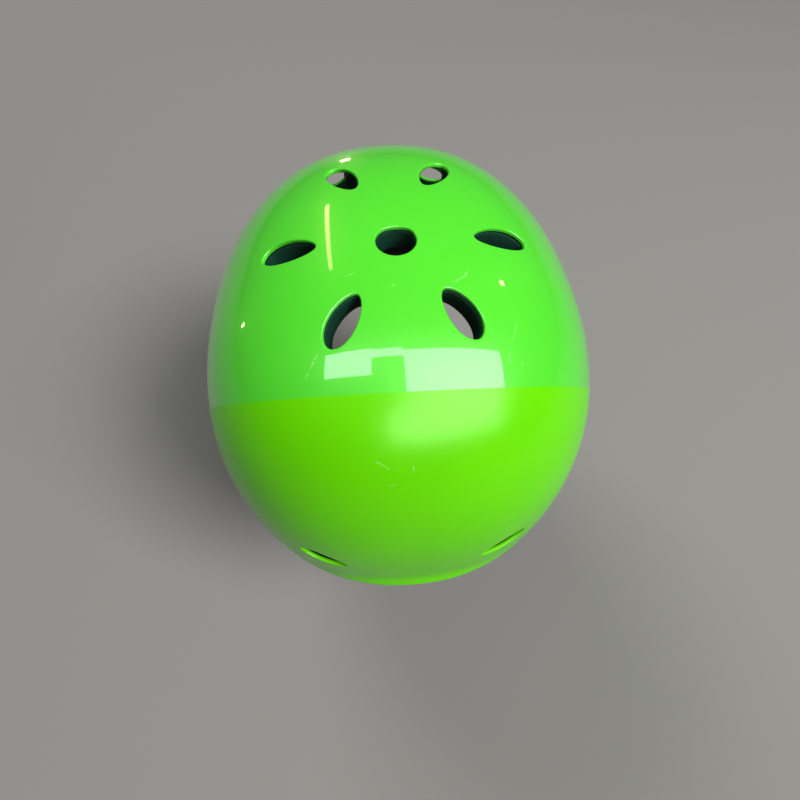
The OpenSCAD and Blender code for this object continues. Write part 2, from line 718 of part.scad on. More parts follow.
// Buckle: its frame's origin lies in the mouth of the socket
module buckle_frame() {
    chin_frame() translate([0, 0, bar_z]) children();
}
module bar(x) {
    translate([x, -buckle_w / 2 + 1, 0]) rotate([-90, 0, 0])
        cylinder(r = bar_r, h = buckle_w - 2, $fn = round_fn);
}
module rails(x0, x1) {
    for (s = [-1, 1]) translate([x0, s > 0 ? rail_y : -buckle_w / 2, -rail_h / 2])
        cube([x1 - x0, buckle_w / 2 - rail_y, rail_h]);
}
// Block from x0 to x1 with edges rounded along its length
module soft_block(x0, x1, w, h, r) {
    translate([x0, 0, 0]) plate(x1 - x0) hull()
        for (y = [-1, 1], z = [-1, 1])
            translate([y * (w / 2 - r), z * (h / 2 - r)]) circle(r = r, $fn = 32);
}
edge_r = 2.2;
// Side windows where the prong tips show
window_l = 11;
window_h = 3.6;
module buckle_socket() {
    box_l = socket_depth + socket_wall;
    color(plastic) buckle_frame() {
        difference() {
            soft_block(-box_l, 0, buckle_w, buckle_t, edge_r);
            translate([-socket_depth, -cavity_w / 2, -cavity_h / 2])
                cube([socket_depth + 1, cavity_w, cavity_h]);
            translate([-socket_depth + 3, -buckle_w, -window_h / 2])
                cube([window_l, 2 * buckle_w, window_h]);
        }
        rails(-socket_l, -box_l + 1);
        bar(-socket_bar_x);
    }
}
// Prong: a straight arm with a barbed head and a slanting tip
prong_h = cavity_h - 2 * plug_gap;
barb_l = 9;
barb_w = 1.6;
module prong_outline() {
    outer = cavity_w / 2 - plug_gap;
    polygon([[1, outer - barb_w], [1, outer - barb_w - prong_w],
        [-prong_l + 4, outer - barb_w - prong_w], [-prong_l, outer - prong_w - barb_w / 2],
        [-prong_l, outer - barb_w], [-prong_l + barb_l - 2, outer],
        [-prong_l + barb_l, outer], [-prong_l + barb_l, outer - barb_w]]);
}
tongue_w = 4;
module buckle_plug() {
    color(plastic) buckle_frame() {
        soft_block(plug_gap, plug_gap + plug_base_l, buckle_w, buckle_t, edge_r);
        rails(plug_gap + plug_base_l - 1, plug_l);
        bar(plug_bar_x);
        bar(outer_bar_x);
        for (s = [0, 1]) mirror([0, s, 0]) translate([0, 0, -prong_h / 2])
            linear_extrude(prong_h) prong_outline();
        translate([-prong_l + 6, -tongue_w / 2, -prong_h / 2])
            cube([prong_l - 5, tongue_w, prong_h]);
    }
}

// Keeper: a band round the webbing and its loose tail
keeper_z = -38;
module keeper_block(l, grow) {
    x0 = -grow;
    translate([x0, -web_w / 2 - web_gap - grow, keeper_z - l / 2])
        cube([stack_x + 2 * grow, web_w + 2 * web_gap + 2 * grow, l]);
}
module strap_keeper() {
    color(plastic) divider_frame() difference() {
        keeper_block(keeper_l, keeper_wall);
        keeper_block(keeper_l + 2, 0);
    }
}

outer_shell();
impact_liner();
brow_pad();
rear_pad();
side_pad_left();
side_pad_right();
crown_pad_front();
crown_pad_rear();
hook_dots();
anchor_rivets();
anchor_washers();
long_strap_left();
long_strap_right();
rear_strap_left();
rear_strap_right();
divider_left();
divider_right();
lever_left();
lever_right();
lever_pin_left();
lever_pin_right();
buckle_socket();
buckle_plug();
strap_keeper();
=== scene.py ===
"""Water sports helmet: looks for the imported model, in metres, in the model's own frame."""

import math

import bmesh
import bpy
from mathutils import Matrix, Vector


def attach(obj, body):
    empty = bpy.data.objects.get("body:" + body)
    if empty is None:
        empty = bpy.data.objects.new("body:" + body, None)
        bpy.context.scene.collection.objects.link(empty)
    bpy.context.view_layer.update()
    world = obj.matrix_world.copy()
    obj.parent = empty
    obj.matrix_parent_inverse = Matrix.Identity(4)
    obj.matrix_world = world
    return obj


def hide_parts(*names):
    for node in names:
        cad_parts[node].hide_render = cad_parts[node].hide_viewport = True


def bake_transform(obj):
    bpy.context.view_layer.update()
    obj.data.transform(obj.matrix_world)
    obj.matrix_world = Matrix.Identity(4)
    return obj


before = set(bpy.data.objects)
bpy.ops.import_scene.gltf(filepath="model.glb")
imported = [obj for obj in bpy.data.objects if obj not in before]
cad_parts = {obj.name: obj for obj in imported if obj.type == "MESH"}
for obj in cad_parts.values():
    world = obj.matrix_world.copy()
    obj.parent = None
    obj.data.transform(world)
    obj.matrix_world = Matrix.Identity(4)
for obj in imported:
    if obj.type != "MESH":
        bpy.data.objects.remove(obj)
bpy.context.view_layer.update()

# Shapes are worked out in millimetres and scaled once, as a piece is finished
MM = 0.001


def placed(name, data):
    """A new object in the scene."""
    thing = bpy.data.objects.new(name, data)
    bpy.context.scene.collection.objects.link(thing)
    return thing


def mesh_of(name, bm):
    """The mesh of a bmesh, which is used up."""
    mesh = bpy.data.meshes.new(name)
    bm.to_mesh(mesh)
    bm.free()
    return mesh


# Camera

FILM_MM, PICTURE_PX = 36, 800


def look(place, target, roll, focal_px):
    """Camera at a place, with its roll in degrees and its focal length in picture points."""
    camera = placed("camera", bpy.data.cameras.new("camera"))
    place, target = Vector(place) * MM, Vector(target) * MM
    ahead = (target - place).normalized()
    right = ahead.cross(Vector((0, 0, 1))).normalized()
    up = right.cross(ahead)
    c, s = math.cos(math.radians(roll)), math.sin(math.radians(roll))
    across, above = right * c + up * s, up * c - right * s
    camera.matrix_world = Matrix.Translation(place) @ Matrix(
        (across, above, -ahead)).transposed().to_4x4()
    camera.data.sensor_width = FILM_MM
    camera.data.lens = FILM_MM * focal_px / PICTURE_PX
    camera.data.clip_start = 0.01
    bpy.context.scene.camera = camera


look(place=(-11.27, -197.38, 313.04), target=(1.42, -15, 17.26), roll=-0.76, focal_px=526)


# Form of the shell, as the source gives it

HALF_W, BROW, NAPE, DOME, SKIRT = 108.0, 116.3, 146.3, 119.8, 40.0
CENTRE_Y = -15.0
PLAN_N, PROFILE_N = 2.21, 2.25
BROW_RISE, SIDE_RISE, SKIRT_IN = 17, 5, 0.03
FLARE, FLARE_HIGH = 3.2, 10
SHELL_T, LINER_OFF, LINER_IN, LINER_LIFT, LINER_EDGE = 2.2, 2.6, 12.6, 5.0, 0.6
COLS, ROWS, SKIRT_ROWS = 240, 76, 13


def power(v, k):
    return math.copysign(abs(v) ** k, v)


def reach(off, y):
    return (NAPE if y > CENTRE_Y else BROW) - off


def rim(turn):
    """Height of the rim, which rises at the brow and a little at the ears."""
    return (BROW_RISE * max(0, -math.sin(turn)) ** 2.4
            + SIDE_RISE * abs(math.cos(turn)) ** 8)


def level(off, z):
    """Share of the widest plan outline at a height."""
    if z > SKIRT:
        return max(0, 1 - ((z - SKIRT) / (DOME - off)) ** PROFILE_N) ** (1 / PROFILE_N)
    return 1 - SKIRT_IN * ((SKIRT - z) / SKIRT) ** 2


def ring(off, turn, share, z):
    s = math.sin(turn)
    return Vector(((HALF_W - off) * share * power(math.cos(turn), 2 / PLAN_N),
                   CENTRE_Y + reach(off, CENTRE_Y + s) * share * power(s, 2 / PLAN_N), z))


def wall(off, turn, z):
    """A point of the wall, whose lip flares forward at the brow."""
    flare = (FLARE * max(0, -math.sin(turn)) ** 10
             * max(0, 1 - (z - rim(turn)) / FLARE_HIGH) ** 2)
    return ring(off, turn, level(off, z), z) - Vector((0, flare, 0))


def wall_normal(off, turn, z):
    return (wall(off, turn + 0.01, z) - wall(off, turn - 0.01, z)).cross(
        wall(off, turn, z + 0.5) - wall(off, turn, z - 0.5)).normalized()


def side(off, y, z):
    k = level(off, z)
    return Vector(((HALF_W - off) * k * (
        1 - (abs(y - CENTRE_Y) / reach(off, y) / k) ** PLAN_N) ** (1 / PLAN_N), y, z))


def side_normal(y, z):
    return (side(0, y + 0.5, z) - side(0, y - 0.5, z)).cross(
        side(0, y, z + 0.5) - side(0, y, z - 0.5)).normalized()


def top(off, x, y):
    plan = ((abs(x) / (HALF_W - off)) ** PLAN_N
            + (abs(y - CENTRE_Y) / reach(off, y)) ** PLAN_N) ** (1 / PLAN_N)
    return Vector((x, y, SKIRT + (DOME - off) * (1 - plan ** PROFILE_N) ** (1 / PROFILE_N)))


def top_normal(off, x, y):
    return (top(off, x + 0.5, y) - top(off, x - 0.5, y)).cross(
        top(off, x, y + 0.5) - top(off, x, y - 0.5)).normalized()


def on_face(place, normal, spin=0.0):
    """Turns +Z along the normal, and +X by spin from the steepest way down."""
    return (Matrix.Translation(place) @ Matrix.Rotation(math.atan2(normal.y, normal.x), 4, "Z")
            @ Matrix.Rotation(math.acos(normal.z), 4, "Y") @ Matrix.Rotation(spin, 4, "Z"))


# Mesh helpers

def absorb(bm, other):
    """Adds the mesh of another bmesh, which is used up."""
    mesh = mesh_of("part", other)
    bm.from_mesh(mesh)
    bpy.data.meshes.remove(mesh)
    return bm


def mirrored(bm):
    """A copy on the other side of the middle plane."""
    twin = bm.copy()
    bmesh.ops.scale(twin, vec=(-1, 1, 1), verts=twin.verts)
    bmesh.ops.reverse_faces(twin, faces=twin.faces)
    return twin


def both(bm):
    return absorb(bm, mirrored(bm))


def carve(body, tools):
    """The body without the space that the tools fill. Cut faces get material 1."""
    for face in tools.faces:
        face.material_index = 1
    made = []
    for part in (body, tools):
        mesh = mesh_of("part", part)
        mesh.materials.append(None)
        mesh.materials.append(None)
        made.append(placed("part", mesh))
    cut = made[0].modifiers.new("cut", "BOOLEAN")
    cut.operation, cut.solver, cut.object = "DIFFERENCE", "EXACT", made[1]
    result = bmesh.new()
    result.from_object(made[0], bpy.context.evaluated_depsgraph_get())
    bmesh.ops.remove_doubles(result, verts=result.verts, dist=0.001)
    for thing in made:
        mesh = thing.data
        bpy.data.objects.remove(thing)
        bpy.data.meshes.remove(mesh)
    return result


def open_edges(bm):
    return [e for e in bm.edges if len(e.link_faces) == 1]


def open_loops(bm):
    """Open edges, one list for each closed loop."""
    left, loops = set(open_edges(bm)), []
    while left:
        loop, reached = [], [left.pop()]
        while reached:
            edge = reached.pop()
            loop.append(edge)
            near = [e for v in edge.verts for e in v.link_edges if e in left]
            left.difference_update(near)
            reached.extend(near)
        loops.append(loop)
    return loops


def loop_centre(loop):
    return sum((v.co for e in loop for v in e.verts), Vector()) / (2 * len(loop))


def roll_edges(bm, edges, profile):
    """Carries open edges outwards and down by the steps of a profile, from where they are."""
    bm.normal_update()
    edges = list(edges)
    start = {}
    for v in {v for e in edges for v in e.verts}:
        ends = {e.link_loops[0].vert == v: e.other_vert(v).co
                for e in v.link_edges if len(e.link_faces) == 1}
        out = (ends[True] - ends[False]).cross(v.normal).normalized()
        start[v] = (v.co.copy(), v.normal.copy(), out)
    for across, down in profile:
        new = bmesh.ops.extrude_edge_only(bm, edges=edges)["geom"]
        moved = {}
        for v in (g for g in new if isinstance(g, bmesh.types.BMVert)):
            old = next(o for o in (e.other_vert(v) for e in v.link_edges) if o in start)
            place, normal, out = start[old]
            v.co = place + out * across - normal * down
            moved[v] = start[old]
        edges = [g for g in new if isinstance(g, bmesh.types.BMEdge)
                 and g.verts[0] in moved and g.verts[1] in moved]
        start = moved
    return edges


def quarter(r, steps, sign=1):
    return [(r * math.sin(a), sign * r * (1 - math.cos(a)))
            for a in (math.pi / 2 * (i + 1) / steps for i in range(steps))]


def piece(name, bm, body, finishes, node, smooth=40):
    """Finishes a mesh as a piece that stands for a node. Edges sharper than smooth stay crisp.
    """
    bmesh.ops.scale(bm, vec=(MM, MM, MM), verts=bm.verts)
    for face in bm.faces:
        face.smooth = True
    for edge in bm.edges:
        edge.smooth = edge.calc_face_angle(0) < math.radians(smooth)
    mesh = mesh_of(name, bm)
    for finish in finishes:
        mesh.materials.append(finish)
    thing = placed(name, mesh)
    if body:
        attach(thing, body)
    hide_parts(node)
    return thing


# Finishes. A Wire is a socket of a finish's tree, and shader maths is written on wires.

def colour(r, g, b):
    """Screen colour, 0 to 255, as the renderer's own numbers."""
    return tuple((v / 255 / 12.92) if v < 10.3 else ((v / 255 + 0.055) / 1.055) ** 2.4
                 for v in (r, g, b)) + (1,)


def maths(operation, swap=False):
    def method(self, other=0.0):
        a, b = (other, self) if swap else (self, other)
        return self.finish.node("ShaderNodeMath", {"operation": operation}, {0: a, 1: b})
    return method


class Wire:
    def __init__(self, finish, socket):
        self.finish, self.socket = finish, socket

    __add__, __radd__ = maths("ADD"), maths("ADD")
    __sub__, __rsub__ = maths("SUBTRACT"), maths("SUBTRACT", True)
    __mul__, __rmul__ = maths("MULTIPLY"), maths("MULTIPLY")
    __truediv__, __pow__ = maths("DIVIDE"), maths("POWER")
    least, most, wave, size = maths("MINIMUM"), maths("MAXIMUM"), maths("SINE"), maths("ABSOLUTE")
    share, above = maths("FLOORED_MODULO"), maths("GREATER_THAN")

    def ramp(self, low, high):
        """0 at low and 1 at high, with soft ends."""
        return self.finish.node("ShaderNodeMapRange", {"interpolation_type": "SMOOTHSTEP"},
                                {"Value": self, "From Min": low, "From Max": high})


class Finish:
    """A material, its shader and the nodes that lead to it."""

    def __init__(self, name, **sockets):
        self.material = bpy.data.materials.new(name)
        self.material.use_nodes = True
        self.tree = self.material.node_tree
        self.shader = self.tree.nodes["Principled BSDF"]
        for key, value in sockets.items():
            self.shader.inputs[key.replace("_", " ")].default_value = value

    def node(self, kind, settings=None, sockets=None, out=0):
        made = self.tree.nodes.new(kind)
        for key, value in (settings or {}).items():
            setattr(made, key, value)
        for key, value in (sockets or {}).items():
            self.feed(made.inputs[key], value)
        return Wire(self, made.outputs[out])

    def feed(self, socket, value):
        if isinstance(value, Wire):
            self.tree.links.new(value.socket, socket)
        else:
            socket.default_value = value

    def set(self, **sockets):
        for key, value in sockets.items():
            self.feed(self.shader.inputs[key.replace("_", " ")], value)

    def place(self):
        return self.node("ShaderNodeTexCoord", out=3)

    def uv(self):
        return self.node("ShaderNodeTexCoord", out=2)

    def axes(self, vector):
        return [self.node("ShaderNodeSeparateXYZ", None, {0: vector}, i) for i in range(3)]

    def noise(self, vector, scale, detail=2.0, rough=0.5):
        return self.node("ShaderNodeTexNoise", None, {
            "Vector": vector, "Scale": scale, "Detail": detail, "Roughness": rough})

    def cells(self, vector, scale, feature="F1"):
        return self.node("ShaderNodeTexVoronoi", {"feature": feature}, {
            "Vector": vector, "Scale": scale})

    def mix(self, mask, a, b):
        return self.node("ShaderNodeMix", {"data_type": "RGBA"}, {0: mask, 6: a, 7: b}, 2)

    def vector(self, operation, a, b, out=0):
        return self.node("ShaderNodeVectorMath", {"operation": operation}, {0: a, 1: b}, out)

    def relief(self, height, distance):
        self.set(Normal=self.node("ShaderNodeBump", None, {
            "Height": height, "Distance": distance, "Strength": 1.0}))

    def line(self, place, a, b, half):
        """Mask of a thin line from a to b, in millimetres."""
        a, b = Vector(a) * MM, Vector(b) * MM
        way = b - a
        along = self.vector("DOT_PRODUCT", self.vector("SUBTRACT", place, a),
                            way / way.length_squared, 1).most(0.0).least(1.0)
        step = self.node("ShaderNodeVectorMath", {"operation": "SCALE"}, {0: way, 3: along})
        gap = self.vector("DISTANCE", place, self.vector("ADD", step, a), 1)
        return 1 - gap.ramp(half * MM * 0.5, half * MM)


# The masked line: where y + z * slope + x * skew passes -shift, in metres
MASK_SLOPE, MASK_SKEW, MASK_SHIFT, MASK_SOFT = 0.57, 0.024, 0.00737, 0.00012


def paint():
    """Lacquered lime at the crown and satin lime low at the front, parted by a masked line."""
    f = Finish("lime_paint", Coat_Roughness=0.03, Coat_IOR=1.4, Specular_IOR_Level=0.27,
               Specular_Tint=(0.9, 1, 0.6, 1))
    place = f.place()
    x, y, z = f.axes(place)
    gloss = (y + z * MASK_SLOPE + x * MASK_SKEW + MASK_SHIFT).ramp(-MASK_SOFT, MASK_SOFT)
    cloud = f.noise(place, 30, 2)
    wear = f.noise(place, 900, 3, 0.7)
    marks = None
    for a, b, half in SCRATCHES:
        mark = f.line(place, top(0, *a), top(0, *b), half)
        marks = mark if marks is None else marks.most(mark)
    marks = marks * wear.ramp(0.42, 0.62)
    body = f.mix(gloss, f.mix(cloud, colour(106, 228, 1), colour(113, 234, 2)),
                 f.mix(cloud, colour(84, 230, 46), colour(92, 236, 52)))
    f.set(Base_Color=f.mix(marks * 0.5, body, colour(190, 255, 165)),
          Roughness=0.23 + gloss * 0.1 + (wear - 0.5) * 0.03, Coat_Weight=gloss)
    f.relief(f.noise(place, 120, 2) * 0.12 + marks * -0.5, 0.00004)
    return f.material


# Scratches on the lacquer and scuffs on the satin paint: both ends in plan, half of the width
SCRATCHES = (
    ((47.5, -59.5), (44, -68), 0.45), ((43, -70), (42, -75.5), 0.45),
    ((21.5, -45.5), (26, -43), 0.5), ((23, -46), (27.5, -42), 0.45),
    ((26.5, -42.5), (29, -39.5), 0.4), ((-6, -47), (-2, -46.5), 0.35),
    ((-22, -39.5), (-18, -38.5), 0.4), ((-40.5, -76.5), (-35.5, -70), 0.6),
    ((47.5, -74), (48.5, -75.5), 0.5), ((-15, -106.5), (-10, -109), 0.5),
    ((0, -109), (0, -110.5), 0.5), ((-9.5, -113.5), (-8, -113.5), 0.6),
)

shell_paint = paint()


def foam():
    """Closed-cell foam, near black, painted dark sea green for the green light that the lime shell
    bounces onto it.
    """
    f = Finish("liner_foam", Roughness=0.7, Specular_IOR_Level=0.08)
    place = f.place()
    cells = f.cells(place, 900.0)
    cloud = f.noise(place, 60, 3)
    # Two dark sea greens: painted green bounce light on near-black foam, mixed by a random cloud
    f.set(Base_Color=f.mix(cloud, colour(11, 50, 37), colour(17, 62, 46)),
          Roughness=0.6 + cloud * 0.2)
    f.relief(cells + cloud * 2, 0.00012)
    return f.material


liner_foam = foam()


# Vents

LEAF_W, LEAF_SKEW, LEAF_BLUNT = 12.5, 0.14, 0.06
SLOT_L, SLOT_W, SLOT_TURN = 25, 12, 102
ROUND_R, LUG, LUG_TURN, VENT_SIDES = 8.8, 0.9, 30, 72


def leaf_tool(length, width, grow, depth, past=8.0):
    """Upright leaf-shaped bar, broader towards +X, grown all round by grow."""
    def outline(a):
        return Vector((length / 2 * math.cos(a), width / 2 * math.sin(a)
                       * (1 + LEAF_SKEW * math.cos(a)) * abs(math.sin(a)) ** LEAF_BLUNT, 0))
    bm = bmesh.new()
    bmesh.ops.create_circle(bm, cap_ends=True, segments=VENT_SIDES, radius=1)
    for v in bm.verts:
        a = math.atan2(v.co.y, v.co.x)
        way = outline(a + 0.05) - outline(a - 0.05)
        v.co = outline(a) + Vector((way.y, -way.x, 0)).normalized() * grow
    return raised(bm, depth, past)


def round_tool(grow, depth, lug=0.0, past=8.0):
    """Upright round bar, with room left for a small moulding lug on the side away from +X."""
    bm = bmesh.new()
    bmesh.ops.create_circle(bm, cap_ends=True, segments=VENT_SIDES, radius=1)
    for v in bm.verts:
        off_lug = 180 - abs(math.degrees(math.atan2(v.co.y, v.co.x)))
        v.co *= ROUND_R + grow - lug * math.exp(-(off_lug / LUG_TURN) ** 2)
    return raised(bm, depth, past)


def raised(bm, depth, past):
    new = bmesh.ops.extrude_face_region(bm, geom=bm.faces[:])["geom"]
    for v in bm.verts:
        v.co.z = -depth
    for v in new:
        if isinstance(v, bmesh.types.BMVert):
            v.co.z = past
    bmesh.ops.recalc_face_normals(bm, faces=bm.faces)
    return bm


# Vents on the right: places in plan, directions and lengths above, and two spots on the wall
UPPER_VENTS = (((24.3, -58.7), -57, 25), ((47.8, -16.5), 13, 28.5), ((22.1, 27.1), 64, 26.5))


def wall_spot(turn, z):
    turn = math.radians(turn)
    return wall(0, turn, z), wall_normal(0, turn, z)


FRONT_SLOT, BACK_HOLE = wall_spot(-67, 46), wall_spot(73, 95)


def vent_tools(grow, depth, lug):
    """Bars that cut all eleven vents, grown all round by grow. The crown vent has a lug."""
    tools = round_tool(grow, depth, lug)
    tools.transform(on_face(top(0, 0, -23), top_normal(0, 0, -23)))
    for (x, y), turn, length in UPPER_VENTS:
        n = top_normal(0, x, y)
        tool = leaf_tool(length, LEAF_W, grow, depth)
        tool.transform(on_face(top(0, x, y), n, math.radians(turn) - math.atan2(n.y, n.x)))
        absorb(tools, both(tool))
    slot, hole = leaf_tool(SLOT_L, SLOT_W, grow, depth), round_tool(grow, depth)
    slot.transform(on_face(*FRONT_SLOT, math.radians(SLOT_TURN)))
    hole.transform(on_face(*BACK_HOLE))
    absorb(tools, both(slot))
    return absorb(tools, both(hole))


def skin(off, lift, grow, depth, lug=0.0):
    """Dome skin at a depth, down to a lift above the rim, with its vents cut."""
    bm = bmesh.new()
    bmesh.ops.create_uvsphere(bm, u_segments=COLS, v_segments=2 * ROWS, radius=1)
    row = math.pi / 2 / ROWS
    low = [v for v in bm.verts if math.asin(max(-1, min(1, v.co.z))) < -row * (SKIRT_ROWS + 0.5)]
    bmesh.ops.delete(bm, geom=low, context="VERTS")
    for v in bm.verts:
        turn = math.atan2(v.co.y, v.co.x)
        rise = math.asin(max(-1, min(1, v.co.z)))
        if rise > -0.1 * row:
            rise = max(0, rise)
            v.co = ring(off, turn, math.cos(rise) ** (2 / PROFILE_N),
                        SKIRT + (DOME - off) * math.sin(rise) ** (2 / PROFILE_N))
        else:
            v.co = wall(off, turn, SKIRT + (rim(turn) + lift - SKIRT) * -rise / row / SKIRT_ROWS)
    base = bmesh.ops.holes_fill(bm, edges=open_edges(bm))["faces"]
    for face in base:
        face.material_index = 1
    bm = carve(bm, vent_tools(grow, depth, lug))
    bmesh.ops.delete(bm, geom=[f for f in bm.faces if f.material_index == 1], context="FACES")
    bmesh.ops.remove_doubles(bm, verts=[v for v in bm.verts if v.is_boundary], dist=0.12)
    return bm


def make_shell():
    """Hard shell: a skin, its twin a wall's thickness below, and rounded edges between them."""
    r = 0.7
    bm = skin(0, r, r, SHELL_T + 5, LUG)
    bm.normal_update()
    copied = set(bmesh.ops.duplicate(bm, geom=bm.verts[:] + bm.edges[:] + bm.faces[:])["geom"])
    outer_edges = [e for e in open_edges(bm) if e not in copied]
    normals = {v: v.normal.copy() for v in copied if isinstance(v, bmesh.types.BMVert)}
    bmesh.ops.reverse_faces(bm, faces=[g for g in copied if isinstance(g, bmesh.types.BMFace)])
    around = quarter(r, 5)
    under = [(a, SHELL_T - d) for a, d in reversed(around)] + [(0, SHELL_T)]
    roll_edges(bm, outer_edges, around + under)
    for v, n in normals.items():
        v.co -= n * SHELL_T
    bmesh.ops.remove_doubles(bm, verts=[v for v in bm.verts if v.is_boundary], dist=0.01)
    return bm


piece("shell", make_shell(), "helmet", [shell_paint], "outer_shell", 80)


def air_slot():
    """Bar through the liner on the right, from the upper rear vent to the round vent below it."""
    start, end = top(0, *UPPER_VENTS[2][0]), BACK_HOLE[0]
    along = (end - start).normalized()
    across = Vector((0, 0, 1)).cross(along).normalized()
    return cast(brick(0, (end - start).length, -7.5, 7.5, -LINER_IN - 8, LINER_IN + 16, 1.5),
                Matrix.Translation(start),
                Matrix((along, across, along.cross(across))).transposed().to_4x4())


def make_liner():
    """Foam liner: an outer and an inner skin with rounded edges, joined through the vents."""
    bm = skin(LINER_OFF, LINER_LIFT + LINER_EDGE, 0, 14)
    roll_edges(bm, open_edges(bm), quarter(LINER_EDGE, 3))
    inner = skin(LINER_IN, LINER_LIFT + LINER_EDGE, 0, 26)
    roll_edges(inner, open_edges(inner), quarter(LINER_EDGE, 3, -1))
    outer_count = len(bm.verts)
    absorb(bm, inner)
    bm.verts.ensure_lookup_table()
    bm.verts.index_update()
    loops = open_loops(bm)
    outer = [l for l in loops if l[0].verts[0].index < outer_count]
    inner = [l for l in loops if l[0].verts[0].index >= outer_count]
    for loop in outer:
        centre = loop_centre(loop)
        partner = min(inner, key=lambda l: (loop_centre(l) - centre).length)
        bmesh.ops.bridge_loops(bm, edges=loop + partner)
    bmesh.ops.recalc_face_normals(bm, faces=bm.faces)
    channels = air_slot()
    for y in ANCHOR_YS:
        foot = flat_point(y, WEB_X)
        lean = math.atan2(foot.y - y, ANCHOR_Z - foot.z)
        absorb(channels, cast(brick(-20, 40, -13, 13, -LINER_OFF - 5.5, 8, 1.2), on_face(
            side(0, y, ANCHOR_Z), side_normal(y, ANCHOR_Z), lean)))
    bm = carve(bm, both(channels))
    for face in bm.faces:
        face.material_index = 0
    return bm


# Small pieces

def cast(bm, *turns):
    """Moves a mesh by matrices, the last one first."""
    place = Matrix.Identity(4)
    for turn in turns:
        place = place @ turn
    bm.transform(place)
    return bm


def lathed(profile, ring=False, segments=48):
    """Round piece from steps of radius and height, round Z. A ring's profile closes on itself."""
    bm = bmesh.new()
    verts = [bm.verts.new((r, 0, z)) for r, z in profile]
    edges = [bm.edges.new(pair) for pair in zip(verts, verts[1:] + (verts[:1] if ring else []))]
    bmesh.ops.spin(bm, geom=verts + edges, cent=(0, 0, 0), axis=(0, 0, 1), angle=2 * math.pi,
                   steps=segments, use_merge=True)
    bmesh.ops.remove_doubles(bm, verts=bm.verts, dist=1e-4)
    bmesh.ops.recalc_face_normals(bm, faces=bm.faces)
    return bm


def arc(r, x, z, low, high, steps=5):
    """Points on an arc of a profile, between two angles in degrees."""
    return [(x + r * math.cos(math.radians(a)), z + r * math.sin(math.radians(a)))
            for a in (low + (high - low) * i / steps for i in range(steps + 1))]


def rounded(bm, edges, size, steps):
    if size:
        bmesh.ops.bevel(bm, geom=edges, offset=size, offset_type="OFFSET", segments=steps,
                        affect="EDGES", profile=0.5, material=-1, clamp_overlap=True)


def slab(outline, low, high, corner=0.0, edge=0.3):
    """Plate on an outline in X and Y, from low to high, with rounded corners and edges."""
    bm = bmesh.new()
    bm.faces.new([bm.verts.new((x, y, low)) for x, y in outline])
    up = bmesh.ops.extrude_face_region(bm, geom=bm.faces[:])["geom"]
    bmesh.ops.translate(bm, verts=[g for g in up if isinstance(g, bmesh.types.BMVert)],
                        vec=(0, 0, high - low))
    bmesh.ops.recalc_face_normals(bm, faces=bm.faces)
    upright = [e for e in bm.edges if abs(e.verts[0].co.z - e.verts[1].co.z) > 1e-3]
    rounded(bm, upright, corner, 6)
    bm.normal_update()
    rounded(bm, [e for e in bm.edges if abs(e.verts[0].co.z - e.verts[1].co.z) < 1e-3], edge, 3)
    return bm


def brick(x0, x1, y0, y1, z0, z1, edge=0.3):
    bm = slab(((x0, y0), (x1, y0), (x1, y1), (x0, y1)), z0, z1, 0, 0)
    rounded(bm, bm.edges[:], edge, 3)
    return bm


# Plates drawn in Y and Z that are thick in X, and in Z and X that are thick in Y
FLAT_X = Matrix(((0, 0, 1, 0), (1, 0, 0, 0), (0, 1, 0, 0), (0, 0, 0, 1)))
FLAT_Y = Matrix(((1, 0, 0, 0), (0, 0, -1, 0), (0, 1, 0, 0), (0, 0, 0, 1)))
ALONG_Y = Matrix.Rotation(math.radians(90), 4, "X")


def rod(radius, half, edge, place):
    """Round rod along Y with rounded ends, half of its length to each side of a place."""
    end = arc(edge, radius - edge, half - edge, 0, 90, 3)
    profile = [(0, -half)] + [(r, -z) for r, z in reversed(end)] + end + [(0, half)]
    return cast(lathed(profile, False, 24), Matrix.Translation(place), ALONG_Y)


# Other finishes

def moulded(name, dark, light, rough):
    """Moulded plastic with a fine texture, faint flow marks and rubbed spots."""
    f = Finish(name, Roughness=rough, Specular_IOR_Level=0.45)
    place = f.place()
    grain = f.noise(place, 2600, 2, 0.6)
    flow = f.noise(place, 90, 3)
    rubbed = f.noise(place, 160, 4, 0.7).ramp(0.58, 0.75)
    f.set(Base_Color=f.mix(flow, dark, light), Roughness=rough + grain * 0.12 - rubbed * 0.14)
    f.relief(grain + flow * 0.5, 0.00006)
    return f.material


def steel(name, shade, grain_axis):
    """Satin steel, brushed along one axis, with faint stains."""
    f = Finish(name, Metallic=1.0, Roughness=0.3)
    place = f.place()
    stretch = [1800.0, 1800.0, 1800.0]
    stretch[grain_axis] = 120.0
    grain = f.noise(f.vector("MULTIPLY", place, stretch), 1.0, 2)
    stain = f.noise(place, 140, 3)
    f.set(Base_Color=f.mix(stain, colour(shade, shade, shade + 2), colour(
        shade + 22, shade + 22, shade + 22)), Roughness=0.22 + grain * 0.16 + stain * 0.1)
    f.relief(grain, 0.00002)
    return f.material


def woven():
    """Woven webbing on its own UV: metres along and across."""
    f = Finish("webbing", Roughness=0.75, Sheen_Weight=0.08, Sheen_Roughness=0.5)
    along, across, _ = f.axes(f.uv())
    rows, cords = along * (math.pi / 0.0011), across * (math.pi / 0.0013)
    offset = (across / 0.0013).share(2.0).above(1.0) * (math.pi / 2)
    thread = (rows + offset).wave().size() * cords.wave().size() ** 0.4
    selvage = across.size().ramp(0.0086, 0.0094)
    fuzz = f.noise(f.place(), 1500, 3, 0.7)
    # Colour follows the threads: painted highlight on their crowns and painted shade in the gaps
    # between them; the fuzz adds random tone
    f.set(Base_Color=f.mix((thread * 0.7 + fuzz * 0.5 - selvage * 0.2).least(1.0),
                           colour(11, 11, 13), colour(37, 38, 41)),
          Roughness=0.85 - thread * 0.25)
    f.relief(thread * (1 - selvage * 0.8) + fuzz * 0.3, 0.0003)
    return f.material


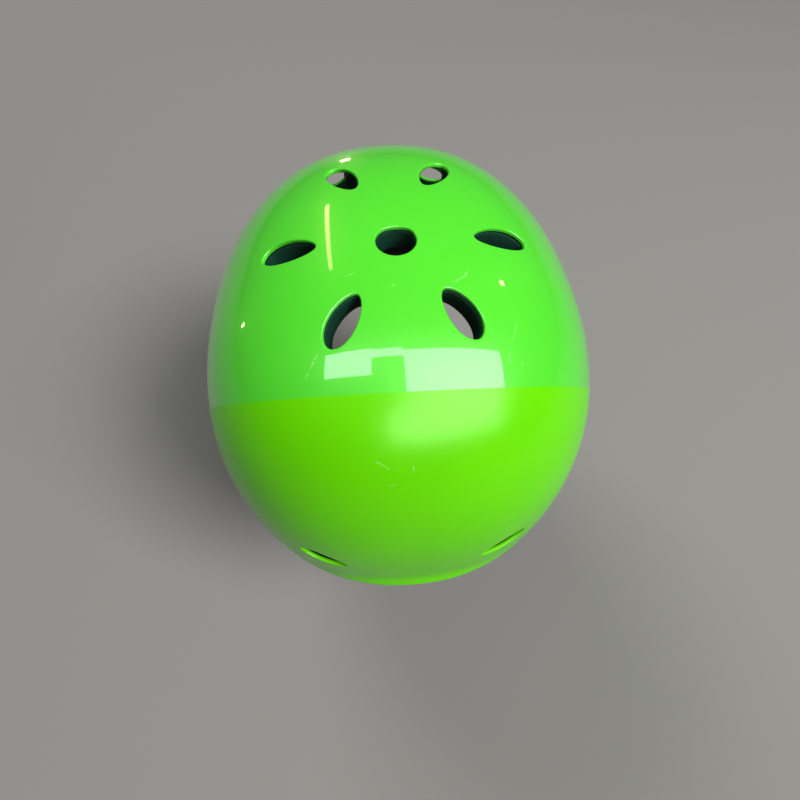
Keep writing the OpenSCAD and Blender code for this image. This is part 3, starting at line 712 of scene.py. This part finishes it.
def thread():
    f = Finish("strap_thread", Roughness=0.6)
    twist = f.noise(f.place(), 3500, 1)
    f.set(Base_Color=f.mix(twist, colour(34, 34, 36), colour(78, 78, 82)))
    f.relief(twist, 0.0001)
    return f.material


def pad_cover():
    """Knitted spacer cloth with small open cells."""
    f = Finish("pad_fabric", Roughness=0.9, Sheen_Weight=0.3, Sheen_Roughness=0.4)
    place = f.place()
    rib = f.cells(place, 620.0, "DISTANCE_TO_EDGE").ramp(0.04, 0.3)
    yarn = f.noise(place, 2400, 2, 0.6)
    cloud = f.noise(place, 70, 3)
    # Colour is darker in the open cells, which the bump sinks, and lighter on the ribs between
    # them: painted shade in the cells
    f.set(Base_Color=f.mix((rib * 0.6 + yarn * 0.4) * (cloud * 0.5 + 0.75),
                           colour(48, 49, 52), colour(20, 20, 22)),
          Roughness=0.8 + yarn * 0.15)
    f.relief(yarn * 0.5 - rib, 0.0004)
    return f.material


def hook_tape():
    """Hook fastener: short stiff bristles on a woven ground."""
    f = Finish("hook_tape", Roughness=0.5, Specular_IOR_Level=0.5)
    place = f.place()
    hooks = 1 - f.cells(place, 1300.0).ramp(0.1, 0.5)
    # Bristles painted lighter and the ground between them darker: painted highlight on the bristles
    # and painted shade on the ground
    f.set(Base_Color=f.mix(hooks, colour(16, 16, 18), colour(62, 63, 66)),
          Roughness=0.65 - hooks * 0.3)
    f.relief(hooks, 0.0008)
    return f.material


def soft_rubber():
    f = Finish("keeper_rubber", Roughness=0.6, Specular_IOR_Level=0.35)
    place = f.place()
    dust = f.noise(place, 300, 4, 0.7)
    grain = f.noise(place, 3000, 2)
    f.set(Base_Color=f.mix(dust, colour(20, 20, 21), colour(36, 36, 37)),
          Roughness=0.5 + dust * 0.25)
    f.relief(grain, 0.00004)
    return f.material


divider_plastic = moulded("divider_plastic", colour(22, 22, 24), colour(34, 34, 36), 0.45)
buckle_plastic = moulded("buckle_plastic", colour(20, 20, 22), colour(31, 31, 33), 0.38)
rivet_steel = steel("rivet_steel", 178, 2)
pin_steel = steel("pin_steel", 160, 1)
webbing, strap_thread = woven(), thread()
pad_fabric, hook_fabric, keeper_rubber = pad_cover(), hook_tape(), soft_rubber()


# Anchors: a rivet through shell, webbing and washer at each of the four places

ANCHOR_YS, ANCHOR_Z = (-50.0, 62.0), 15.0
WEB_W, WEB_T, WEB_GAP = 20.0, 1.2, 0.3
WEB_OFF = SHELL_T + 0.9 + WEB_T / 2
WASHER_TOP = WEB_OFF + WEB_T / 2 + 0.3


def at_anchors(make):
    bm = bmesh.new()
    for y in ANCHOR_YS:
        face = on_face(side(0, y, ANCHOR_Z), side_normal(y, ANCHOR_Z))
        absorb(bm, cast(make(), face))
    return both(bm)


def rivet():
    tail = WASHER_TOP + 0.8 + 0.3
    dome = [(5.5 * math.cos(a), 0.75 + 1.35 * math.sin(a))
            for a in (math.pi / 2 * i / 10 for i in range(10))]
    return lathed([(0, -tail - 0.7)] + arc(0.5, 1.1, -tail - 1.2 + 0.5, 200, 270, 3)
                  + arc(0.55, 3.0, -tail - 0.62, -90, 60) + [(2.2, -tail), (2.2, 0.3)]
                  + arc(0.25, 5.2, 0.55, -90, 0, 3) + dome + [(0, 2.1)])


def washer():
    return lathed(arc(0.2, 6.8, 0.2, -90, 0, 3) + arc(0.2, 6.8, 0.6, 0, 90, 3)
                  + [(2.4, 0.8), (2.3, 0.7), (2.3, 0.1), (2.4, 0)], True)


piece("rivets", at_anchors(rivet), "helmet", [rivet_steel], "anchor_rivets", 50)
piece("washers", at_anchors(lambda: cast(washer(), Matrix.Translation(
    (0, 0, -WASHER_TOP - 0.8)))), "helmet", [rivet_steel], "anchor_washers", 50)


# Webbing. A section is a centre, half of the width and half of the thickness.

CHIN = Matrix.Translation((0, -8, -58)) @ Matrix.Rotation(math.radians(-12), 4, "X")
DIVIDER = CHIN @ Matrix.Translation((84, 0, 0)) @ Matrix.Rotation(math.radians(14), 4, "Y")
DIV_X, DIV_Y, DIV_Z = (DIVIDER.to_3x3().col[i].copy() for i in range(3))
LAYER, WEB_X, FOLD_Z, FLAT_L = WEB_T + WEB_GAP, WEB_GAP + WEB_T / 2, 15.0, WEB_W / 2 + 3
SLANT = math.radians(14)


def fold_point(x):
    return DIVIDER @ Vector((x, 0, FOLD_Z))


def flat_point(y, x):
    rise = side(0, y, ANCHOR_Z) - fold_point(x)
    a = math.atan2(rise.dot(DIV_Y), rise.dot(DIV_Z))
    return DIVIDER @ Vector((x, FLAT_L * math.sin(a), FOLD_Z + FLAT_L * math.cos(a)))


def slant_point(y, x, s):
    foot = flat_point(y, x)
    py, pz = y + (foot.y - y) * s, ANCHOR_Z + (foot.z - ANCHOR_Z) * s
    rim_s = (ANCHOR_Z - 2) / (ANCHOR_Z - foot.z)
    if s < rim_s:
        return side(WEB_OFF, py, pz)
    rim_x = side(WEB_OFF, y + (foot.y - y) * rim_s, 2).x
    return Vector((rim_x + (foot.x - rim_x) * (s - rim_s) / (1 - rim_s), py, pz))


def slant_section(y, x, s):
    t = (slant_point(y, x, s + 0.01) - slant_point(y, x, s - 0.01)).normalized()
    face = side_normal(y, ANCHOR_Z) * (1 - s) + DIV_X * s
    w = face.cross(t).normalized()
    return slant_point(y, x, s), w * WEB_W / 2, t.cross(w) * WEB_T / 2


def slanting(y, x):
    """From the anchor's tab to the fold in the divider, where the webbing turns straight down."""
    flat, fold = flat_point(y, x), fold_point(x)
    t = (fold - flat).normalized()
    half = math.acos(t.dot(-DIV_Z)) / 2
    return ([slant_section(y, x, -0.13 + 0.88 * i / 22) for i in range(23)]
            + [(flat, DIV_X.cross(t).normalized() * WEB_W / 2, DIV_X * WEB_T / 2),
               (fold, DIV_X.cross((t - DIV_Z).normalized()).normalized()
                * WEB_W / 2 / math.cos(half), DIV_X * WEB_T / 2)])


def chin_section(x, z, turn):
    out = CHIN.to_3x3() @ Vector((math.cos(turn), 0, math.sin(turn)))
    return CHIN @ Vector((x, 0, z)), DIV_Y * WEB_W / 2, out * WEB_T / 2


def on_slant(x, z):
    return (84 + x * math.cos(SLANT) + z * math.sin(SLANT), -x * math.sin(SLANT)
            + z * math.cos(SLANT))


BEND_R, BAR_R = 30.0, 1.5
BEND_X, BEND_Z = (p - BEND_R * q for p, q in zip(on_slant(WEB_X, -56),
                                                 (math.cos(SLANT), -math.sin(SLANT))))
FOOT = BEND_Z - BEND_R
WRAP = BAR_R + WEB_GAP + WEB_T / 2
BAR_Z = FOOT - WRAP
BUCKLE = CHIN @ Matrix.Translation((0, 0, BAR_Z))
# Distances of the buckle's webbing bars from the socket's mouth
SOCKET_BAR, PLUG_BAR, OUTER_BAR = 30.1, 14.6, 22.6


def loop(bar_x):
    """Down the side, round the bend, along the foot and round a bar of the buckle."""
    made = [chin_section(*on_slant(WEB_X, z), -SLANT) for z in (-14, -28, *range(-40, -56, -3))]
    for i in range(25):
        a = -SLANT - (math.pi / 2 - SLANT) * i / 24
        made.append(chin_section(BEND_X + BEND_R * math.cos(a), BEND_Z + BEND_R * math.sin(a), a))
    for i in range(13):
        a = math.pi * (i / 12 - 0.5)
        made.append(chin_section(bar_x - WRAP * math.cos(a), BAR_Z - WRAP * math.sin(a), a))
    return made


def back_along(low, high):
    """Back under the foot, rising onto the outer face of the webbing between low and high."""
    made = []
    for i in range(9):
        rise = i / 8
        soft = rise * rise * (3 - 2 * rise)
        made.append(chin_section(low + (high - low) * rise,
                                 FOOT - 2 * WRAP + (2 * WRAP - LAYER) * soft, math.pi / 2))
    return made


def round_bend(last):
    made = []
    for i in range(1, 25):
        a = math.radians(-90 + (last + 90) * i / 24)
        made.append(chin_section(BEND_X + (BEND_R + LAYER) * math.cos(a),
                                 BEND_Z + (BEND_R + LAYER) * math.sin(a), a + math.pi))
    return made


# Outline of the webbing's cross-section, as shares of half its width and thickness
CROSS = ((0.94, 1), (0.5, 1), (0, 1), (-0.5, 1), (-0.94, 1), (-0.985, 0.7), (-1, 0),
         (-0.985, -0.7), (-0.94, -1), (-0.5, -1), (0, -1), (0.5, -1), (0.94, -1), (0.985, -0.7),
         (1, 0), (0.985, 0.7))


def lengths(sections):
    total, made = 0.0, [0.0]
    for a, b in zip(sections, sections[1:]):
        total += (b[0] - a[0]).length
        made.append(total)
    return made


def ribbon(sections):
    """Webbing through its sections, with its length and width as UV."""
    bm = bmesh.new()
    rows, around, far = len(sections) - 1, len(CROSS), lengths(sections)
    bmesh.ops.create_grid(bm, x_segments=rows, y_segments=around, size=1)
    step = {v: (round((v.co.x + 1) / 2 * rows), round((v.co.y + 1) / 2 * around)) for v in bm.verts}
    uv = bm.loops.layers.uv.new("weave")
    for face in bm.faces:
        for corner in face.loops:
            i, j = step[corner.vert]
            corner[uv].uv = (far[i] * MM, CROSS[j % around][0] * WEB_W / 2 * MM)
    for v, (i, j) in step.items():
        centre, across, thick = sections[i]
        a, b = CROSS[j % around]
        v.co = centre + across * a + thick * b
    bmesh.ops.remove_doubles(bm, verts=bm.verts, dist=1e-4)
    bmesh.ops.holes_fill(bm, edges=open_edges(bm))
    bmesh.ops.recalc_face_normals(bm, faces=bm.faces)
    return bm


def sew(bm, sections, start, end, across, face):
    """A row of stitches between two lengths along the webbing, and two shares of its width."""
    far = lengths(sections)
    span = math.hypot(end - start, (across[1] - across[0]) * WEB_W / 2)
    count = max(1, round(span / 2.6))
    spots = []
    for k in range(2 * count + 1):
        s = k / (2 * count)
        d = start + (end - start) * s
        i = max(n for n in range(len(far) - 1) if far[n] <= d + 1e-6)
        part = (d - far[i]) / (far[i + 1] - far[i])
        p, w, t = (sections[i][n].lerp(sections[i + 1][n], part) for n in range(3))
        spots.append((p + w * (across[0] + (across[1] - across[0]) * s)
                      + t.normalized() * face * (WEB_T / 2 + 0.05), t.normalized()))
    for k in range(count):
        (a, up), (b, _) = spots[2 * k], spots[2 * k + 1]
        a = a.lerp(b, -0.35)
        b = b.lerp(a, -0.2)
        way = (b - a).normalized()
        stitch = bmesh.new()
        bmesh.ops.create_icosphere(stitch, subdivisions=1, radius=1)
        bmesh.ops.scale(stitch, vec=((b - a).length / 2, 0.34, 0.26), verts=stitch.verts)
        cast(stitch, Matrix.Translation((a + b) / 2), Matrix((way, up.cross(way), up))
             .transposed().to_4x4())
        for f in stitch.faces:
            f.material_index = 1
        absorb(bm, stitch)


def hem(bm, sections, face):
    """Two rows of stitches across the end of a strap."""
    whole = lengths(sections)[-1]
    for back in (2.2, 4.6):
        sew(bm, sections, whole - back, whole - back, (-0.85, 0.85), face)


def box_stitch(bm, sections, start, end, face):
    for a, b, across in ((start, end, (-0.8, -0.8)), (start, end, (0.8, 0.8)),
                         (start, start, (-0.8, 0.8)), (end, end, (-0.8, 0.8)),
                         (start, end, (-0.8, 0.8)), (start, end, (0.8, -0.8))):
        sew(bm, sections, a, b, across, face)


def make_plug_strap():
    low = OUTER_BAR + BAR_R + WEB_GAP
    sections = (slanting(ANCHOR_YS[0], WEB_X) + loop(PLUG_BAR) + back_along(low, low + 7.7)
                + round_bend(-14) + [chin_section(*on_slant(WEB_X + LAYER, z), math.pi - SLANT)
                                     for z in range(-54, -29, 3)])
    bm = ribbon(sections)
    hem(bm, sections, -1)
    return bm


def make_socket_strap():
    under = (slanting(ANCHOR_YS[0], WEB_X) + loop(SOCKET_BAR)
             + back_along(SOCKET_BAR + BAR_R + WEB_GAP, SOCKET_BAR + 8))
    sewn = math.degrees(max(4, 26 - (BEND_X - SOCKET_BAR)) / (BEND_R + LAYER)) - 90
    sections = under + round_bend(sewn)
    bm = ribbon(sections)
    far = lengths(sections)
    box_stitch(bm, sections, far[len(under) - 1] + 3, far[-1] - 2, -1)
    return bm


def make_rear_strap():
    sections = slanting(ANCHOR_YS[1], WEB_X + LAYER) + [
        chin_section(*on_slant(WEB_X + LAYER, z), -SLANT) for z in (-8, -18, -27)]
    bm = ribbon(sections)
    hem(bm, sections, 1)
    return bm


for name, bm in (("long_strap_right", make_plug_strap()),
                 ("long_strap_left", mirrored(make_socket_strap())),
                 ("rear_strap_right", make_rear_strap()),
                 ("rear_strap_left", mirrored(make_rear_strap()))):
    bends = name == "long_strap_right"
    strap = piece("webbing_" + name, bm, None if bends else "helmet", [webbing, strap_thread],
                  name)
    if bends:
        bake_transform(strap)


# Dividers and their levers, drawn in the divider's own frame on the right

STACK_X = WEB_X + LAYER + WEB_T / 2 + WEB_GAP
PIN_X, PIN_Z, BOSS_R = STACK_X + 3, 6.0, 3.0


def make_divider():
    plate = slab(((-25, 20), (-25, 13.2), (-12.5, 1.7), (-12.5, -16), (12.5, -16), (12.5, 1.7),
                  (25, 13.2), (25, 20)), -2, 0, 2.6, 0.5)
    bm = cast(plate, FLAT_X)
    cheek = [(-1.2, -13), (2.6, -13)] + arc(BOSS_R, PIN_X, PIN_Z, -30, 110, 10) + [(-1.2, 9)]
    for y in (-10.3, 12.5):
        absorb(bm, cast(slab([(x, z) for x, z in cheek], 0, 2.2, 0, 0.35),
                        Matrix.Translation((0, y, 0)), FLAT_Y))
    absorb(bm, cast(slab(((-24.5, 11.5), (24.5, 11.5), (24.5, 19.5), (-24.5, 19.5)),
                         STACK_X, STACK_X + 2.2, 2.6, 0.6), FLAT_X))
    for y in (-22.5, 22.5):
        absorb(bm, brick(-1, STACK_X + 1.1, y - 1.3, y + 1.3, 13.5, 17.5, 0.2))
    for y in range(-18, 19, 6):
        absorb(bm, brick(STACK_X + 1.6, STACK_X + 2.6, y - 1.4, y + 1.4, 13.4, 17.6, 0.35))
    return cast(bm, DIVIDER)


def make_lever():
    """Lever: boss, flap with a finger lip, and a nose that grips the webbing."""
    outline = (arc(BOSS_R, PIN_X, PIN_Z, 0, 180, 14)
               + [(STACK_X, -0.4), (7.1, -0.4), (7.1, -18), (11.7, -18), (11.7, -16), (9.3, -15)])
    bm = cast(slab(outline, -10, 10, 0, 0.45), FLAT_Y)
    for z in (-12.6, -10.4, -8.2, -6.0):
        absorb(bm, brick(8.8, 9.9, -6.5, 6.5, z - 0.55, z + 0.55, 0.35))
    return cast(bm, DIVIDER)


def make_pin():
    return cast(rod(1.2, 12.5, 0.25, (PIN_X, 0, PIN_Z)), DIVIDER)


for hand, turn in (("right", lambda bm: bm), ("left", mirrored)):
    piece("divider_body_" + hand, turn(make_divider()), "helmet", [divider_plastic],
          "divider_" + hand, 35)
    piece("lever_body_" + hand, turn(make_lever()), "lever_" + hand, [divider_plastic],
          "lever_" + hand, 35)
    piece("pin_" + hand, turn(make_pin()), "helmet", [pin_steel], "lever_pin_" + hand, 35)


# Buckle, drawn in the frame of the socket's mouth

def bar(x):
    return rod(BAR_R, 13.5, 0.3, (x, 0, 0))


def rails(bm, x0, x1):
    """Side rails that hold the webbing bars."""
    for y in (-12.65, 12.65):
        absorb(bm, slab(((x0, y - 1.85), (x1, y - 1.85), (x1, y + 1.85), (x0, y + 1.85)),
                        -2.5, 2.5, 0, 0.7))


def make_socket():
    body = slab(((-23.6, -14.5), (0, -14.5), (0, 14.5), (-23.6, 14.5)), -4.8, 4.8, 2.4, 1.5)
    hollow = brick(-21.6, 3, -12.5, 12.5, -2.8, 2.8, 0.5)
    absorb(hollow, brick(-18.6, -7.6, -20, 20, -1.8, 1.8, 0.6))
    for z in (-1, 1):
        absorb(hollow, brick(-19.5, -8.5, -7, 7, z * 4.8 - 0.35, z * 4.8 + 0.35, 0.3))
    bm = carve(body, hollow)
    for z in (-1, 1):
        for x in (-17.4, -15.2, -13.0, -10.8):
            absorb(bm, brick(x - 0.5, x + 0.5, -5, 5, z * 4.6 - 0.35, z * 4.6 + 0.2, 0.15))
    rails(bm, -31.6, -22.6)
    absorb(bm, bar(-SOCKET_BAR))
    return cast(bm, BUCKLE)


def make_plug():
    bm = slab(((0.3, -14.5), (10.3, -14.5), (10.3, 14.5), (0.3, 14.5)), -4.8, 4.8, 1.8, 1.5)
    for z in (-1, 1):
        for x in (3.2, 5.3, 7.4):
            absorb(bm, brick(x - 0.5, x + 0.5, -9, 9, z * 4.8 - 0.3, z * 4.8 + 0.25, 0.2))
    rails(bm, 9.3, 24.1)
    for x in (PLUG_BAR, OUTER_BAR):
        absorb(bm, bar(x))
    outer = 12.5 - 0.3
    for y in (1, -1):
        prong = [(1, outer - 1.6), (1, outer - 4.8), (-17, outer - 4.8), (-21, outer - 4.0),
                 (-21, outer - 1.6), (-14, outer), (-12, outer), (-12, outer - 1.6)]
        absorb(bm, slab([(px, y * py) for px, py in prong], -2.5, 2.5, 0, 0.3))
    absorb(bm, slab(((-15, -2), (5, -2), (5, 2), (-15, 2)), -2.5, 2.5, 0.8, 0.3))
    return cast(bm, BUCKLE)


def make_keeper():
    band = brick(-1.6, STACK_X + 1.6, -11.9, 11.9, -42, -34, 1.1)
    band = carve(band, brick(0, STACK_X, -10.3, 10.3, -50, -26, 0.4))
    for z in (-39.8, -38, -36.2):
        absorb(band, brick(STACK_X + 1.3, STACK_X + 1.95, -9, 9, z - 0.45, z + 0.45, 0.3))
    return cast(band, DIVIDER)


piece("socket_body", make_socket(), "helmet", [buckle_plastic], "buckle_socket", 35)
piece("plug_body", make_plug(), "plug", [buckle_plastic], "buckle_plug", 35)
piece("keeper_band", make_keeper(), "keeper", [keeper_rubber], "strap_keeper", 35)


# Pads: crowned covers on a footprint u, v from -1 to 1, swollen, then sewn into channels

PAD_OFF, PAD_T, PAD_EDGE, DOT_GAP, DOT_T = LINER_IN + 2.4, 10.0, 2.0, 0.8, 1.0
CROWN_PAD_HALF, SWELL_MM, SEAM_W, SEAM_DEEP = 30, 1.6, 1.5, 2.2


class Pad:
    """A pad on a wall, by its middle turn, half angle, height and depth, or on the crown."""

    def __init__(self, name, seams, turn=None, angle=None, z=None, y=None, high=28.0, wide=24.0):
        self.name, self.seams = name, seams
        self.turn, self.angle, self.z, self.y = turn, angle, z, y
        self.high, self.wide = high, wide
        self.span = wide / 2 if turn is None else math.radians(angle) * 100

    def at(self, off, u, v):
        if self.turn is None:
            return top(off, u * self.wide / 2, self.y + v * CROWN_PAD_HALF)
        return wall(off, math.radians(self.turn + u * self.angle), self.z + v * self.high / 2)

    def find(self, p):
        """The place u, v of a point of the pad."""
        if self.turn is None:
            return p.x / (self.wide / 2), (p.y - self.y) / CROWN_PAD_HALF
        off = PAD_OFF + 4
        turn = math.degrees(math.atan2(power((p.y - CENTRE_Y) / reach(off, p.y), PLAN_N / 2),
                                       power(p.x / (HALF_W - off), PLAN_N / 2)))
        gap = (turn - self.turn + 180) % 360 - 180
        return gap / self.angle, (p.z - self.z) / (self.high / 2)

    def form(self, thin):
        """Closed crowned cushion, a little slimmer than the pad is once it has swollen."""
        bm = bmesh.new()
        cols, rows = (36, 8) if self.turn is not None and self.angle > 30 else (16, 12)
        for front in (False, True):
            face = bmesh.new()
            bmesh.ops.create_grid(face, x_segments=cols, y_segments=rows, size=1)
            for v in face.verts:
                a, b = v.co.x, v.co.y
                cut = 1 - 0.1 * (a * b) ** 6
                crown = PAD_EDGE + (PAD_T - PAD_EDGE - thin) * math.sqrt(
                    max(0, (1 - a ** 6) * (1 - b ** 4)))
                v.co = self.at(PAD_OFF + (crown if front else 0.1), a * cut * (0.97 + 0.03 * b * b),
                               b * cut * (0.92 + 0.08 * a * a))
            absorb(bm, face)
        loops = open_loops(bm)
        bmesh.ops.bridge_loops(bm, edges=loops[0] + loops[1])
        bmesh.ops.recalc_face_normals(bm, faces=bm.faces)
        return bm


def settled(thing):
    """Applies the modifiers of a piece to its mesh."""
    mesh = bpy.data.meshes.new_from_object(
        thing.evaluated_get(bpy.context.evaluated_depsgraph_get()))
    thing.modifiers.clear()
    thing.data = mesh


def swell(thing, most):
    """Blows a pad up with the cloth solver. No point moves further than most, in metres."""
    before = [v.co.copy() for v in thing.data.vertices]
    cloth = thing.modifiers.new("cloth", "CLOTH")
    cloth.settings.use_pressure = True
    cloth.settings.uniform_pressure_force = 4
    cloth.settings.effector_weights.gravity = 0
    for step in range(1, 21):
        bpy.context.scene.frame_set(step)
    settled(thing)
    middle = Vector((0, CENTRE_Y, 20)) * MM
    for v, old in zip(thing.data.vertices, before):
        move = v.co - old
        out = (old - middle).normalized()
        move -= out * max(0, move.dot(out))
        v.co = old + move * min(1, most / max(move.length, 1e-9))


def make_pad(pad):
    bm = pad.form(SWELL_MM)
    bmesh.ops.scale(bm, vec=(MM, MM, MM), verts=bm.verts)
    thing = placed("cover_" + pad.name, mesh_of(pad.name, bm))
    remesh = thing.modifiers.new("remesh", "REMESH")
    remesh.mode, remesh.voxel_size = "VOXEL", 0.002
    settled(thing)
    swell(thing, SWELL_MM * MM)
    smooth = thing.modifiers.new("smooth", "SUBSURF")
    smooth.levels = smooth.render_levels = 1
    settled(thing)
    for v in thing.data.vertices:
        p = v.co / MM
        a, b = pad.find(p)
        low, high = pad.at(PAD_OFF, a, b), pad.at(PAD_OFF + PAD_T, a, b)
        inward = (high - low).normalized()
        front = max(0, min(1, (p - low).dot(inward) / PAD_T * 2 - 0.5))
        groove = max(math.exp(-((a - seam) * pad.span / SEAM_W) ** 2) for seam in pad.seams)
        v.co = (p - inward * groove * front * SEAM_DEEP) * MM
    for face in thing.data.polygons:
        face.use_smooth = True
    thing.data.materials.clear()
    thing.data.materials.append(pad_fabric)
    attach(thing, "helmet")
    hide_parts(pad.name)


PADS = (Pad("brow_pad", (-0.6, -0.2, 0.2, 0.6), -90, 52, 33, high=20.0),
        Pad("rear_pad", (-0.5, 0, 0.5), 90, 38, 26),
        Pad("side_pad_left", (0,), 174, 20, 30), Pad("side_pad_right", (0,), 6, 20, 30),
        Pad("crown_pad_front", (0,), y=-74), Pad("crown_pad_rear", (0,), y=36))
for pad in PADS:
    make_pad(pad)


def hook_dot(place, normal):
    """Round patch of hook fastener, its rim rolled."""
    return cast(lathed([(0, 0)] + arc(0.3, 6.7, 0.3, -90, 0, 3) + arc(0.3, 6.7, 0.7, 0, 90, 3)
                       + [(0, 1)], False, 40), on_face(place, normal),
                Matrix.Translation((0, 0, -DOT_GAP - DOT_T)))


def make_dots():
    bm = bmesh.new()
    places = [(-90 + k * 52, 33) for k in (-0.75, -0.25, 0.25, 0.75)]
    places += [(90 + k * 38, 26) for k in (-0.6, 0, 0.6)]
    places += [(turn + k * 20, 30) for k in (-0.5, 0.5) for turn in (6, 174)]
    for turn, z in places:
        turn = math.radians(turn)
        absorb(bm, hook_dot(wall(LINER_IN, turn, z), wall_normal(LINER_IN, turn, z)))
    for y in (-92, -56, 18, 54):
        absorb(bm, hook_dot(top(LINER_IN, 0, y), top_normal(LINER_IN, 0, y)))
    return bm


piece("liner", make_liner(), "helmet", [liner_foam], "impact_liner", 50)
piece("hook_patches", make_dots(), "helmet", [hook_fabric], "hook_dots", 50)


# Floor and light, in metres

FLOOR_Z = -0.1455
PANE_LIGHT, GLINT_LIGHT, TUBE_LIGHT, ROOM_LIGHT = 11.0, 26.0, 14.0, 0.08
GLINT_FAR, TUBE_WIDE = 2.2, 0.075


def make_floor():
    f = Finish("floor", Roughness=0.8, Specular_IOR_Level=0.0)
    f.set(Base_Color=colour(147, 145, 141))
    bm = bmesh.new()
    bmesh.ops.create_grid(bm, x_segments=2, y_segments=2, size=12.0)
    bmesh.ops.translate(bm, verts=bm.verts, vec=(0, 0, FLOOR_Z))
    mesh = mesh_of("floor", bm)
    mesh.materials.append(f.material)
    placed("floor", mesh)


def lamp(name, place, size, radiance, turn, tint, reflected=True):
    """Flat lamp of an even brightness, either for reflections or for soft light."""
    light = bpy.data.lights.new(name, "AREA")
    light.shape = "RECTANGLE"
    light.size, light.size_y = size
    light.energy = radiance * math.pi * size[0] * size[1]
    light.color = tint
    thing = placed(name, light)
    thing.location = place
    thing.rotation_euler = turn
    thing.visible_camera, thing.visible_glossy = False, reflected
    thing.visible_diffuse = not reflected


def facing(way):
    """Turn of a lamp that shines against a direction."""
    return Vector(way).to_track_quat("Z", "Y").to_euler()


def glint(name, start, way, size):
    """Small bright lamp seen by reflection, along a direction from a point of the shell."""
    lamp(name, Vector(start) * MM + Vector(way) * GLINT_FAR, size, GLINT_LIGHT, facing(way),
         (1, 1, 0.45))


def pane(name, x0, x1, s0, s1):
    """Pane of a slanting window in front of the helmet, from x0 to x1 and from s0 up to s1."""
    s = (s0 + s1) / 2
    lamp(name, ((x0 + x1) / 2, -0.925 + 0.771 * s, 1.025 + 0.637 * s), (x1 - x0, s1 - s0),
         PANE_LIGHT, (math.radians(39.6), 0, 0), (0.88, 1, 1.1))


make_floor()
for name, place, size, radiance in (("key", (1.62, -1.32, 2.42), 1.2, 22.5),
                                    ("fill", (-1.0, 1.6, 2.0), 1.2, 7.0)):
    lamp(name, place, (size, size), radiance, facing(place), (1, 1, 1), False)
pane("window", 0.05, 1.6, -0.1, 0.66)
pane("window_low", -0.12, 1.5, -0.6, -0.1)
pane("window_left", -0.97, -0.27, 0.35, 0.72)
pane("window_top", -0.27, 0.05, 0.58, 0.7)
glint("spot_rear", (-20.6, 48.8, 149.7), (-0.11, 0.992, -0.063), (0.09, 0.09))
glint("spot_right", (43, -43, 150), (0.726, 0.422, 0.544), (0.1, 0.1))
glint("spot_left", (-69, -43, 135), (-0.894, 0.447, 0.037), (0.05, 0.1))
tube_ends = (Vector((-0.77, 2.18, 1.15)), Vector((-0.98, 1.32, 2.03)))
tube_way = (tube_ends[1] - tube_ends[0]).normalized()
tube_middle = (tube_ends[0] + tube_ends[1]) / 2
tube_face = (tube_middle - tube_way * tube_middle.dot(tube_way)).normalized()
lamp("tube", tube_middle, (TUBE_WIDE, (tube_ends[1] - tube_ends[0]).length), TUBE_LIGHT, Matrix(
    (tube_way.cross(tube_face), tube_way, tube_face)).transposed().to_euler(), (1, 1, 0.35))
world = bpy.data.worlds.new("room")
bpy.context.scene.world = world
world.use_nodes = True
world.node_tree.nodes["Background"].inputs["Color"].default_value = (0.9, 0.95, 1, 1)
world.node_tree.nodes["Background"].inputs["Strength"].default_value = ROOM_LIGHT
bpy.context.scene.view_settings.view_transform = "Standard"
